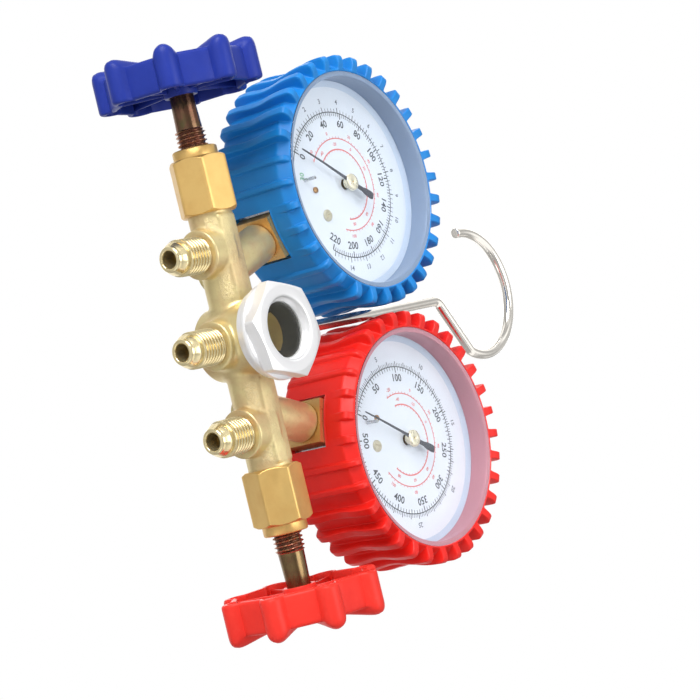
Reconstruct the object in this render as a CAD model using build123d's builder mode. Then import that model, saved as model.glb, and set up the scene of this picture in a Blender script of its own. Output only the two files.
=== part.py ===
from build123d import *
from math import atan2, cos, degrees, dist, radians, sin
import os

# Two-valve refrigerant manifold gauge set, hanging by its hook.  Millimetres.
# X runs along the valve manifold, low side (blue) towards -X and high side (red) towards +X.
# The hose ports point down (-Z), both dials look towards -Y, and the origin is the point
# inside the hook where the set hangs.

# ---- driving dimensions ----------------------------------------------------------------
fit = 0.03                  # radial clearance of a turned fit
slide_fit = 0.05            # radial clearance of a sliding fit

hook_reach = 154.3          # hook seat above the manifold axis
hook_back = 5.0             # hook wire behind the manifold axis
manifold_y = -hook_back
manifold_z = -hook_reach

run_radius = 6.7            # cast brass run between the two valves
run_half = 38.5
valve_bore = 4.5            # bore in which each valve piston slides
seat_x = 15.0               # valve seats, from the centre
neck_radius = 6.0           # turned and threaded ends that carry the bonnets
neck_end = 48.0

port_pitch = 27.0           # hose port spacing
flare_major = 11.11 / 2     # 7/16-20 UNF thread of a 1/4 in SAE flare fitting
port_bore = 2.6
port_tip = 22.7             # outer ports, below the axis
centre_port_tip = 26.7
port_collar = 7.1
port_collar_z = 9.6
centre_collar_z = 13.0

chamber_radius = 11.2       # sight-glass chamber, axis along Y
chamber_front = -8.0
chamber_back = 8.6
cavity_radius = 6.4
cavity_floor = 2.2
glass_neck_radius = 10.2
glass_neck_front = -13.0

nut_front = -18.0
nut_across_flats = 26.0
nut_corner_angle = 15.0
nut_flange_radius = 12.8
nut_flange = 2.2
nut_lip_radius = 8.35
seal_thick = 1.2
glass_radius = 9.8
glass_thick = 2.4

gauge_rise = 62.0           # dial centres above the manifold axis
stem_splay = 19.5           # each gauge stem leans outwards by this many degrees
lens_y = -13.2              # front of both dials
stem_y = 4.0                # gauge stems sit behind the manifold axis
boss_radius = 6.2
boss_end = 39.9             # distance from the dial centre down the stem to the boss
npt_radius = 5.05
npt_length = 8.0

socket_half = 6.9
socket_end = 39.7
case_radius = 35.1
case_wall = 1.2
case_depth = stem_y - lens_y + socket_half + 2.1     # its back lies just behind the socket
lens_radius = case_radius - 0.8
lens_thick = 1.5
dial_radius = case_radius - 1.6
dial_depth = 8.0
dial_thick = 0.6
screw_x, screw_y = 4.45, -14.5

tube_radius = 27.0          # Bourdon tube, centre line
tube_wide = 3.0
tube_deep = 8.0
tube_wall = 0.4
tube_tip_turn = 105.0       # closed tip, clockwise from straight up the stem
tube_sweep = 283.0          # from the tip anticlockwise over the top to the socket
tube_tip_x = tube_radius * sin(radians(tube_tip_turn))
tube_tip_y = tube_radius * cos(radians(tube_tip_turn))
plate_thick = 1.2
plate_wide, plate_top = 26.0, 5.5
back_plate_depth = 19.2
front_plate_depth = back_plate_depth - 7.2
pinion_radius = 1.3
gear_ratio = 10.0
sector_pivot = -pinion_radius * (1 + gear_ratio)
saddle_top = 7.2 - sector_pivot     # upper face of the socket's saddle, below the dial centre
sector_radius = pinion_radius * gear_ratio - 0.1
sector_depth = back_plate_depth - 5.0
sector_arc = (50.0, 95.0)   # toothed arc seen from the front, anticlockwise from +x
tail_length, tail_turn = 7.0, -13.0
tail = (tail_length * cos(radians(tail_turn)),
        sector_pivot + tail_length * sin(radians(tail_turn)))
link_pin = (tube_tip_x - 4.08, tube_tip_y - 7.312)       # pivot on the tube tip
link_length = dist(link_pin, tail) + 0.07
link_depth = back_plate_depth - 3.5
link_thick = 0.8
link_play = 0.4             # slot at the tail end of the link
link_side_play = 0.15
pin_radius = 0.6
hairspring_depth = back_plate_depth - 2.0
hairspring_start, hairspring_pitch = 1.46, 0.45
hairspring_turns = 8        # half turns
hairspring_wire = 0.22
arbor_radius = 0.8
pointer_depth = 5.0
pointer_reach = 24.0
pointer_tail = 10.8
hub_cap_radius = 2.75

boot_barrel = case_radius + 3.1     # smooth part of the rubber boot
boot_depth = case_depth + 1.6
boot_cavity = case_radius + 0.05
boot_lip_radius = case_radius - 0.5
boot_back_opening = saddle_top + 4.5        # clears the heads of the case screws
rib_count = 32
rib_wide = 2.4
rib_front = boot_barrel + 2.3
rib_dip = boot_barrel + 0.9
rib_back = boot_barrel + 1.5
low_rib = boot_barrel + 0.8
window_half = socket_half + 0.9
gauge_half_spread = rib_front + 1.3         # dial centres, from the middle
case_screw_x, case_screw_y = 4.0, -saddle_top - 2.0
zero_turn = {"low": -130.0, "high": -169.5}     # pointer at zero, clockwise from up
stop_turn = {"low": -152.1, "high": -173.4}     # just below the lowest reading

bonnet_flats = 16.0
bonnet_corner = {"low": 40.9, "high": 17.1}    # one hexagon corner, from +Y towards +Z
bonnet_start = 38.6
bonnet_hex_end = 55.6
bonnet_end = 58.6
bonnet_collar = 6.6
spindle_thread = 4.5        # M9 x 1.5 valve spindle
spindle_pitch = 1.5
spindle_shank = 3.55
spindle_thread_end = 64.2
spindle_end = 80.0
valve_travel = 4.5          # three turns from shut to open
piston_start = 17.4
piston_end = 44.6
piston_head = piston_end - 8.1      # start of the guided head
foot_slot = piston_end - 3.0        # slot in the head for the spindle's foot
foot_slot_deep = 1.4
oring_x = 40.0
oring_section = 0.95

wheel_inner = 74.3
wheel_web = 10.2
wheel_lobe = 13.2
wheel_tip = 25.7
lobe_radius = 4.2
lobe_count = 8
wheel_wall = 2.0
wheel_hub = 8.0
wheel_phase = {"low": 13.7, "high": 25.8}      # one lobe, from +Y towards +Z

wire_radius = 1.8           # hook wire
neck_wire_radius = 1.15
hook_bottom = 3.4
loop_radius = 21.9
hook_knee = 111.5           # where the wire leaves the straight shaft, above the axis
groove_z = 6.6              # turned neck of the hook, above the manifold axis
grub_radius = 1.25

sides = {"low": -1, "high": 1}


# ---- planes ----------------------------------------------------------------------------
def along_run(x, side=1):
    """Plane across the manifold axis at distance x on one side, looking outwards."""
    return Plane(origin=(side * x, manifold_y, manifold_z), x_dir=(0, 1, 0), z_dir=(side, 0, 0))


def facing_front(y):
    """Plane square to the sight-glass axis, y behind the run; its normal looks forwards (-Y)."""
    return Plane(origin=(0, manifold_y + y, manifold_z), x_dir=(1, 0, 0), z_dir=(0, -1, 0))


def facing_down(x, z):
    """Plane square to a hose port, z below the manifold axis; its normal looks down."""
    return Plane(origin=(x, manifold_y, manifold_z - z), x_dir=(1, 0, 0), z_dir=(0, 0, -1))


def gauge_face(side):
    """Front plane of one gauge: x to its right, y up its leaning stem, normal forwards."""
    lean = radians(side * stem_splay)
    centre = (side * gauge_half_spread, manifold_y + lens_y, manifold_z + gauge_rise)
    return Plane(origin=centre, x_dir=(cos(lean), 0, -sin(lean)), z_dir=(0, -1, 0))


def turning_plane(face):
    """Half section of a gauge: x is the radius and y points forwards along its axis."""
    return Plane(origin=face.origin, x_dir=face.x_dir, z_dir=-face.y_dir)


def stem_plane(face, drop):
    """Plane square to the stem, drop mm below the dial centre; its normal looks down."""
    origin = face.origin - face.y_dir * drop - face.z_dir * (stem_y - lens_y)
    return Plane(origin=origin, x_dir=face.x_dir, z_dir=-face.y_dir)


def polar(radius, clockwise):
    """Point on a dial at an angle measured clockwise from straight up the stem."""
    return radius * sin(radians(clockwise)), radius * cos(radians(clockwise))


nodes = {}


def keep(name, part):
    part.label = name
    nodes[name] = part


# ---- manifold body ---------------------------------------------------------------------
def make_manifold():
    ports = [(-port_pitch, port_tip, port_collar_z), (0, centre_port_tip, centre_collar_z),
             (port_pitch, port_tip, port_collar_z)]
    with BuildPart() as body:
        with BuildSketch(along_run(-run_half)):
            Circle(run_radius)
        extrude(amount=2 * run_half)
        with BuildSketch(along_run(-neck_end)):
            Circle(neck_radius)
        extrude(amount=2 * neck_end)
        with BuildSketch(facing_front(chamber_back)):
            Circle(chamber_radius)
        extrude(amount=chamber_back - chamber_front)
        chamfer(body.faces().sort_by(Axis.Y)[-1].edges(), 0.8)
        with BuildSketch(facing_front(chamber_front)):
            Circle(glass_neck_radius)
        extrude(amount=chamber_front - glass_neck_front)
        for x, tip, collar_z in ports:
            with BuildSketch(facing_down(x, 0)):
                Circle(port_collar)
            extrude(amount=collar_z)
            with BuildSketch(facing_down(x, collar_z)):
                Circle(flare_major)
            extrude(amount=tip - collar_z)
            chamfer(body.faces(Select.LAST).sort_by(Axis.Z)[0].edges(), 1.3)
        for side in sides.values():
            face = gauge_face(side)
            with BuildSketch(stem_plane(face, boss_end)):
                Circle(boss_radius)
            extrude(amount=gauge_rise / cos(radians(stem_splay)) - boss_end)
        # bores: ports, gauge feeds, valve bores, sight-glass cavity and hook socket
        for x, tip, collar_z in ports:
            with BuildSketch(facing_down(x, 0)):
                Circle(port_bore)
            extrude(amount=tip, mode=Mode.SUBTRACT)
        for side in sides.values():
            face = gauge_face(side)
            with BuildSketch(stem_plane(face, boss_end)):
                Circle(npt_radius + fit)
            extrude(amount=npt_length + 0.5, mode=Mode.SUBTRACT)
            with BuildSketch(stem_plane(face, boss_end)):
                Circle(port_bore)
            extrude(amount=gauge_rise / cos(radians(stem_splay)) - boss_end, mode=Mode.SUBTRACT)
            with BuildSketch(along_run(seat_x, side)):
                Circle(valve_bore)
            extrude(amount=neck_end - seat_x, mode=Mode.SUBTRACT)
        with BuildSketch(along_run(-seat_x)):
            Circle(port_bore)
        extrude(amount=2 * seat_x, mode=Mode.SUBTRACT)
        with BuildSketch(facing_front(cavity_floor)):
            Circle(cavity_radius)
        extrude(amount=cavity_floor - glass_neck_front, mode=Mode.SUBTRACT)
        with BuildSketch(Plane.XY.offset(manifold_z + hook_bottom - 0.4)):
            Circle(wire_radius + slide_fit)
        extrude(amount=chamber_radius, mode=Mode.SUBTRACT)
        with BuildSketch(Plane.XZ.offset(hook_back - chamber_back)):
            with Locations((0, manifold_z + groove_z)):
                Circle(grub_radius + fit)
        extrude(amount=chamber_back - hook_back, mode=Mode.SUBTRACT)
    keep("manifold_body", body.part)


# ---- valves ----------------------------------------------------------------------------
def make_valve(name, side):
    with BuildPart() as bonnet:
        with BuildSketch(along_run(bonnet_start, side)):
            RegularPolygon(bonnet_flats / 2, 6, major_radius=False,
                           rotation=side * bonnet_corner[name])
        extrude(amount=bonnet_hex_end - bonnet_start)
        with BuildSketch(along_run(bonnet_start, side)):
            Circle(bonnet_flats / 2 + 0.55)
        extrude(amount=bonnet_hex_end - bonnet_start, mode=Mode.INTERSECT)
        with BuildSketch(along_run(bonnet_hex_end, side)):
            Circle(bonnet_collar)
        extrude(amount=bonnet_end - bonnet_hex_end)
        with BuildSketch(along_run(bonnet_start, side)):
            Circle(neck_radius + fit)
        extrude(amount=neck_end - bonnet_start + 0.3, mode=Mode.SUBTRACT)
        with BuildSketch(along_run(bonnet_start, side)):
            Circle(spindle_thread + slide_fit)
        extrude(amount=bonnet_end - bonnet_start, mode=Mode.SUBTRACT)
    keep(f"bonnet_{name}", bonnet.part)

    with BuildPart() as piston:
        with BuildSketch(along_run(piston_start, side)):
            Circle(2.3)
        extrude(amount=piston_head - piston_start)
        with BuildSketch(along_run(piston_head, side)):
            Circle(valve_bore - slide_fit)
        extrude(amount=piston_end - piston_head)
        with BuildSketch(along_run(oring_x - oring_section, side)):
            Circle(valve_bore)
            Circle(valve_bore - 1.6, mode=Mode.SUBTRACT)
        extrude(amount=2 * oring_section, mode=Mode.SUBTRACT)
        with BuildSketch(along_run(foot_slot, side)):
            Circle(2.0 + slide_fit)
        extrude(amount=piston_end - foot_slot, mode=Mode.SUBTRACT)
        with BuildSketch(along_run(foot_slot, side)):
            Circle(3.0 + slide_fit)
        extrude(amount=foot_slot_deep, mode=Mode.SUBTRACT)
    keep(f"valve_piston_{name}", piston.part)

    with BuildPart() as seat_disc:
        with BuildSketch(along_run(seat_x + 0.1, side)):
            Circle(3.6)
        extrude(amount=piston_start - seat_x - 0.1)
        chamfer(seat_disc.faces().sort_by(Axis.X)[0 if side > 0 else -1].edges(), 0.9)
    keep(f"seat_disc_{name}", seat_disc.part)

    with BuildPart() as ring:
        with BuildSketch(along_run(oring_x - oring_section + 0.05, side)):
            Circle(valve_bore - 0.01)
            Circle(valve_bore - 1.6, mode=Mode.SUBTRACT)
        extrude(amount=2 * oring_section - 0.1)
        fillet(ring.edges().filter_by(GeomType.CIRCLE), 0.5)
    keep(f"piston_oring_{name}", ring.part)

    with BuildPart() as spindle:
        with BuildSketch(along_run(foot_slot + 0.1, side)):
            Circle(2.9)
        extrude(amount=foot_slot_deep - 0.2)
        with BuildSketch(along_run(foot_slot + 0.4, side)):
            Circle(2.0)
        extrude(amount=piston_end + 1.4 - foot_slot - 0.4)
        with BuildSketch(along_run(piston_end + 0.1, side)):
            Circle(spindle_thread - 0.05)
        extrude(amount=spindle_thread_end - piston_end - 0.1)
        with BuildSketch(along_run(spindle_thread_end, side)):
            Circle(spindle_shank)
        extrude(amount=wheel_inner - 1.8 - spindle_thread_end)
        with BuildSketch(along_run(wheel_inner - 1.8, side)):
            Rectangle(5.4, 5.4, rotation=45)
            Circle(spindle_shank, mode=Mode.INTERSECT)
        extrude(amount=spindle_end - wheel_inner + 1.8)
        with BuildSketch(along_run(spindle_end - 6, side)):
            Circle(1.65)
        extrude(amount=6, mode=Mode.SUBTRACT)
    keep(f"spindle_{name}", spindle.part)

    make_handwheel(name, side)


def make_handwheel(name, side):
    """Eight-lobed moulded wheel: hollow towards the valve, ridged on its outer face."""
    phase = side * wheel_phase[name]
    lobe_at = wheel_tip - lobe_radius
    outer_face = wheel_inner + wheel_web
    with BuildPart() as wheel:
        with BuildSketch(along_run(wheel_inner, side)) as outline:
            Circle(lobe_at)
            with PolarLocations(lobe_at, lobe_count, start_angle=phase):
                Circle(lobe_radius)
            fillet(outline.vertices(), 2.6)
        extrude(amount=wheel_web)
        with BuildSketch(along_run(wheel_inner, side)) as hollow:
            Circle(lobe_at)
            with PolarLocations(lobe_at, lobe_count, start_angle=phase):
                Circle(lobe_radius)
            fillet(hollow.vertices(), 2.6)
            offset(amount=-wheel_wall, kind=Kind.INTERSECTION, mode=Mode.REPLACE)
        extrude(amount=wheel_web - wheel_wall, mode=Mode.SUBTRACT)
        # hub and the thin ribs that tie it to the rim
        with BuildSketch(along_run(wheel_inner - 1.5, side)):
            Circle(wheel_hub)
        extrude(amount=wheel_web + 1.5)
        with BuildSketch(along_run(wheel_inner + 1.0, side)):
            with PolarLocations((wheel_hub + lobe_at) / 2, lobe_count, start_angle=phase):
                Rectangle(lobe_at - wheel_hub + 1.0, 1.3)
        extrude(amount=wheel_web - 1.0 - wheel_wall / 2)
        # ridges on the outer face, highest at the lobes
        for k in range(lobe_count):
            turn = radians(phase + 360 * k / lobe_count)
            local = along_run(outer_face - 0.5, side)
            outwards = local.x_dir * cos(turn) + local.y_dir * sin(turn)
            ridge = Plane(origin=local.origin, x_dir=outwards, z_dir=outwards.cross(local.z_dir))
            with BuildSketch(ridge):
                with BuildLine():
                    Polyline((9.0, 0), (wheel_tip - 0.8, 0), (wheel_tip - 0.8, 2.3),
                             (wheel_tip - 2.6, wheel_lobe - wheel_web + 0.5),
                             (wheel_tip - 5.2, wheel_lobe - wheel_web + 0.3), (9.0, 0.9), close=True)
                make_face()
            extrude(amount=2.9, both=True)
        with BuildSketch(along_run(wheel_inner - 1.6, side)):
            Rectangle(5.4 + 2 * fit, 5.4 + 2 * fit, rotation=45)
            Circle(spindle_shank + fit, mode=Mode.INTERSECT)
        extrude(amount=spindle_end - wheel_inner + 1.7, mode=Mode.SUBTRACT)
        with BuildSketch(along_run(spindle_end, side)):
            Circle(2.05)
        extrude(amount=6, mode=Mode.SUBTRACT)
        with BuildSketch(along_run(outer_face - 1.6, side)):
            Circle(4.6)
        extrude(amount=6, mode=Mode.SUBTRACT)
    keep(f"handwheel_{name}", wheel.part)

    with BuildPart() as screw:
        with BuildSketch(along_run(spindle_end - 5.5, side)):
            Circle(1.62)
        extrude(amount=5.5)
        with BuildSketch(along_run(spindle_end, side)):
            Circle(1.9)
        extrude(amount=outer_face - 1.6 - spindle_end)
        with BuildSketch(along_run(outer_face - 1.6, side)):
            Circle(3.8)
        extrude(amount=2.0)
        with BuildSketch(along_run(outer_face - 0.5, side)):
            Rectangle(4.6, 0.9)
            Rectangle(0.9, 4.6)
        extrude(amount=1.5, mode=Mode.SUBTRACT)
    keep(f"handwheel_screw_{name}", screw.part)


# ---- sight glass -----------------------------------------------------------------------
def make_sight_glass():
    lip_back = nut_front + 1.4
    with BuildPart() as nut:
        with BuildSketch(facing_front(chamber_front)):
            Circle(nut_flange_radius)
        extrude(amount=nut_flange)
        with BuildSketch(facing_front(chamber_front - nut_flange)):
            RegularPolygon(nut_across_flats / 2, 6, major_radius=False, rotation=nut_corner_angle)
        extrude(amount=chamber_front - nut_flange - nut_front)
        # the round chamfer that trims the front corners of the hexagon
        with BuildSketch(Plane(origin=(0, manifold_y, manifold_z), x_dir=(1, 0, 0), z_dir=(0, 0, 1))):
            with BuildLine():
                Polyline((0, chamber_front), (nut_across_flats / 2 + 3, chamber_front),
                         (nut_across_flats / 2 + 3, nut_front + 1.9),
                         (nut_across_flats / 2 - 0.4, nut_front), (0, nut_front), close=True)
            make_face()
        revolve(axis=Axis((0, manifold_y, manifold_z), (0, 1, 0)), mode=Mode.INTERSECT)
        with BuildSketch(facing_front(chamber_front)):
            Circle(glass_neck_radius + fit)
        extrude(amount=chamber_front - glass_neck_front, mode=Mode.SUBTRACT)
        with BuildSketch(facing_front(glass_neck_front)):
            Circle(glass_radius + 0.05)
        extrude(amount=glass_neck_front - lip_back, mode=Mode.SUBTRACT)
        with BuildSketch(facing_front(lip_back)):
            Circle(nut_lip_radius)
        extrude(amount=2, mode=Mode.SUBTRACT)
        chamfer(nut.faces().sort_by(Axis.Y)[0].edges().filter_by(GeomType.CIRCLE).sort_by(
            SortBy.RADIUS)[0], 1.2)
    keep("sight_glass_nut", nut.part)

    with BuildPart() as glass:
        with BuildSketch(facing_front(lip_back + glass_thick)):
            Circle(glass_radius)
        extrude(amount=glass_thick)
    keep("sight_glass", glass.part)

    with BuildPart() as seal:
        with BuildSketch(facing_front(glass_neck_front)):
            Circle(glass_radius)
            Circle(cavity_radius, mode=Mode.SUBTRACT)
        extrude(amount=glass_neck_front - lip_back - glass_thick)
    keep("sight_glass_seal", seal.part)


# ---- hook ------------------------------------------------------------------------------
def make_hook():
    """One bent wire: shaft, slanted knee, and an open loop over the hanging point."""
    loop_z = -loop_radius + wire_radius
    slant_end = (loop_radius * 0.93, hook_knee + loop_radius * 0.93)
    knee_z = manifold_z + hook_knee
    slant_z = manifold_z + slant_end[1]
    with BuildPart() as hook:
        with BuildLine(Plane.XZ) as path:
            FilletPolyline((0, manifold_z + hook_bottom), (0, knee_z), (slant_end[0], slant_z),
                           (loop_radius, loop_z), radius=[5.0, 7.0])
            CenterArc((0, loop_z), loop_radius, 0, 184)
        with BuildSketch(Plane.XY.offset(manifold_z + hook_bottom)):
            Circle(wire_radius)
        sweep(path=path.wires()[0])
        with BuildSketch(Plane.XY.offset(manifold_z + groove_z - grub_radius - slide_fit)):
            Circle(wire_radius + 1)
            Circle(neck_wire_radius, mode=Mode.SUBTRACT)
        extrude(amount=2 * (grub_radius + slide_fit), mode=Mode.SUBTRACT)
    keep("hang_hook", hook.part)

    with BuildPart() as screw:
        with BuildSketch(Plane.XZ.offset(hook_back - chamber_back + 0.3)):
            with Locations((0, manifold_z + groove_z)):
                Circle(grub_radius)
        extrude(amount=chamber_back - 0.3 - hook_back - neck_wire_radius - slide_fit)
    keep("hook_grub_screw", screw.part)


# ---- gauges ----------------------------------------------------------------------------
def make_gauge(name, side):
    """Everything of one gauge, laid out from the front face of its dial."""
    face = gauge_face(side)
    spin = Axis(face.origin, face.z_dir)
    make_boot(name, face, spin)
    make_case(name, face, spin)
    make_bourdon(name, face, spin)
    make_movement(name, face)
    make_dial(name, face)


def make_boot(name, face, spin):
    """Moulded rubber boot: barrel, lip over the lens, and wavy ribs ending in spurs."""
    with BuildPart() as boot:
        with BuildSketch(turning_plane(face)):
            with BuildLine():
                Polyline((boot_lip_radius, 0), (boot_barrel - 2.0, 0), (boot_barrel, -2.4),
                         (boot_barrel, 1.6 - boot_depth), (boot_barrel - 1.6, -boot_depth),
                         (boot_back_opening, -boot_depth), (boot_back_opening, -case_depth - 0.1),
                         (boot_cavity, -case_depth - 0.1), (boot_cavity, -0.5),
                         (boot_lip_radius, -0.5), close=True)
            make_face()
        revolve(axis=spin)
        for k in range(rib_count):
            turn = 360 * k / rib_count
            with BuildSketch(rib_plane(face, turn)):
                with BuildLine():
                    Polyline(*rib_outline(abs(turn - 180)), close=True)
                make_face()
            extrude(amount=rib_wide / 2, both=True)
        with BuildSketch(stem_plane(face, boot_barrel - 8.2)):
            Rectangle(2 * window_half, 2 * window_half)
        extrude(amount=12, mode=Mode.SUBTRACT)
    keep(f"boot_{name}", boot.part)


def rib_plane(face, turn):
    """Plane of one rib: x outwards from the gauge axis, y forwards along it."""
    x, y = polar(1, turn)
    outwards = face.x_dir * x + face.y_dir * y
    return Plane(origin=face.origin, x_dir=outwards, z_dir=outwards.cross(face.z_dir))


def rib_outline(from_stem):
    """Side view of a rib: wavy and full height, low and straight, or a short front block."""
    inside = boot_cavity + 1.0
    if from_stem > 40:
        return [(inside, -boot_depth), (rib_back - 0.9, -boot_depth), (rib_back, 2.0 - boot_depth),
                (rib_back, 5.8 - boot_depth), (rib_dip, 10.3 - boot_depth), (rib_dip, -12.0),
                (rib_front, -5.0), (rib_front, 0.0), (rib_front - 1.0, 0.7),
                (boot_barrel - 1.8, -0.1), (inside, -3.0)]
    if from_stem > 20:
        return [(inside, 1.6 - boot_depth), (low_rib, 1.6 - boot_depth), (low_rib, -2.4),
                (boot_barrel - 1.0, 0.2), (boot_barrel - 2.2, -0.2), (inside, -3.0)]
    return [(inside, -4.0), (boot_barrel, -4.0), (boot_barrel + 0.5, -3.0),
            (boot_barrel - 1.2, 0.2), (boot_barrel - 2.2, -0.2), (inside, -3.0)]


def make_case(name, face, spin):
    """Pressed steel cup with a crystal snapped in its mouth."""
    inner = case_radius - case_wall
    lens_back = -0.6 - lens_thick
    with BuildPart() as case:
        with BuildSketch(turning_plane(face)):
            with BuildLine():
                Polyline((case_radius, -0.6), (case_radius, 1.5 - case_depth),
                         (case_radius - 1.5, -case_depth), (0, -case_depth),
                         (0, 1.0 - case_depth), (inner - 1.0, 1.0 - case_depth),
                         (inner, 2.0 - case_depth), (inner, lens_back),
                         (lens_radius + fit, lens_back), (lens_radius + fit, -0.6), close=True)
            make_face()
        revolve(axis=spin)
        with BuildSketch(stem_plane(face, case_radius - 10.1)):
            Rectangle(2 * socket_half + 0.1, 2 * socket_half + 0.1)
        extrude(amount=12, mode=Mode.SUBTRACT)
        with BuildSketch(face.offset(-case_depth)):
            with Locations((-case_screw_x, case_screw_y), (case_screw_x, case_screw_y)):
                Circle(1.0 + fit)
        extrude(amount=3, both=True, mode=Mode.SUBTRACT)
    keep(f"gauge_case_{name}", case.part)

    with BuildPart() as lens:
        with BuildSketch(face.offset(-0.6)):
            Circle(lens_radius)
        extrude(amount=-lens_thick)
        chamfer(lens.faces().sort_by(Axis.Y)[0].edges(), 0.25)
    keep(f"lens_{name}", lens.part)


def make_bourdon(name, face, spin):
    """C-shaped pressure tube, its tip lug, and the brass socket that carries everything."""
    stem_depth = stem_y - lens_y
    with BuildPart() as tube:
        with BuildSketch(rib_plane(face, tube_tip_turn)):
            with Locations((tube_radius, -stem_depth)):
                Rectangle(tube_wide, tube_deep)
                Rectangle(tube_wide - 2 * tube_wall, tube_deep - 2 * tube_wall, mode=Mode.SUBTRACT)
        revolve(axis=spin, revolution_arc=tube_sweep)
    keep(f"bourdon_tube_{name}", tube.part)

    cap_wide, cap_deep = tube_wide + 0.6, tube_deep + 0.6
    lug_front = -link_depth - link_thick - 0.3
    with BuildPart() as tip:
        with BuildSketch(rib_plane(face, tube_tip_turn)):
            with Locations((tube_radius, -stem_depth)):
                Rectangle(cap_wide, cap_deep)
        extrude(amount=2.6)
        with BuildSketch(face.offset(lug_front)):
            with BuildLine():
                Polyline((tube_tip_x - 2.18, tube_tip_y - 1.71), (link_pin[0] - 1.7, link_pin[1] + 0.6),
                         (link_pin[0] - 1.7, link_pin[1] - 1.7), (link_pin[0] + 1.7, link_pin[1] - 1.7),
                         (tube_tip_x + 0.92, tube_tip_y - 2.61), close=True)
            make_face()
        extrude(amount=-1.2)
        with BuildSketch(face.offset(-link_depth + 0.4)):
            with Locations(link_pin):
                Circle(pin_radius)
        extrude(amount=-link_thick - 0.9)
    keep(f"tube_tip_{name}", tip.part)

    with BuildPart() as socket:
        with BuildSketch(stem_plane(face, saddle_top)):
            Rectangle(2 * socket_half, 2 * socket_half)
        extrude(amount=socket_end - saddle_top)
        with BuildSketch(face.offset(-stem_depth - socket_half)):
            with Locations((0, -saddle_top - 4.5)):
                Rectangle(2 * socket_half, 9)
        extrude(amount=-(case_depth - 1.0 - stem_depth - socket_half))
        with BuildSketch(stem_plane(face, socket_end)):
            Circle(npt_radius)
        extrude(amount=npt_length)
        with BuildSketch(stem_plane(face, tube_radius - 1.1)):
            Circle(2.0)
        extrude(amount=socket_end + npt_length - tube_radius + 1.1, mode=Mode.SUBTRACT)
        with BuildSketch(rib_plane(face, tube_tip_turn)):
            with Locations((tube_radius, -stem_depth)):
                Rectangle(tube_wide, tube_deep)
        revolve(axis=spin, revolution_arc=tube_sweep, mode=Mode.SUBTRACT)
        with BuildSketch(face.offset(-case_depth + 1.0)):
            with Locations((-case_screw_x, case_screw_y), (case_screw_x, case_screw_y)):
                Circle(1.0)
        extrude(amount=3.2, mode=Mode.SUBTRACT)
    keep(f"socket_{name}", socket.part)

    with BuildPart() as screws:
        with BuildSketch(face.offset(-case_depth)):
            with Locations((-case_screw_x, case_screw_y), (case_screw_x, case_screw_y)):
                Circle(1.8)
        extrude(amount=-0.9)
        with BuildSketch(face.offset(-case_depth)):
            with Locations((-case_screw_x, case_screw_y), (case_screw_x, case_screw_y)):
                Circle(1.0 - 0.01)
        extrude(amount=4.0)
    keep(f"case_screws_{name}", screws.part)


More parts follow.
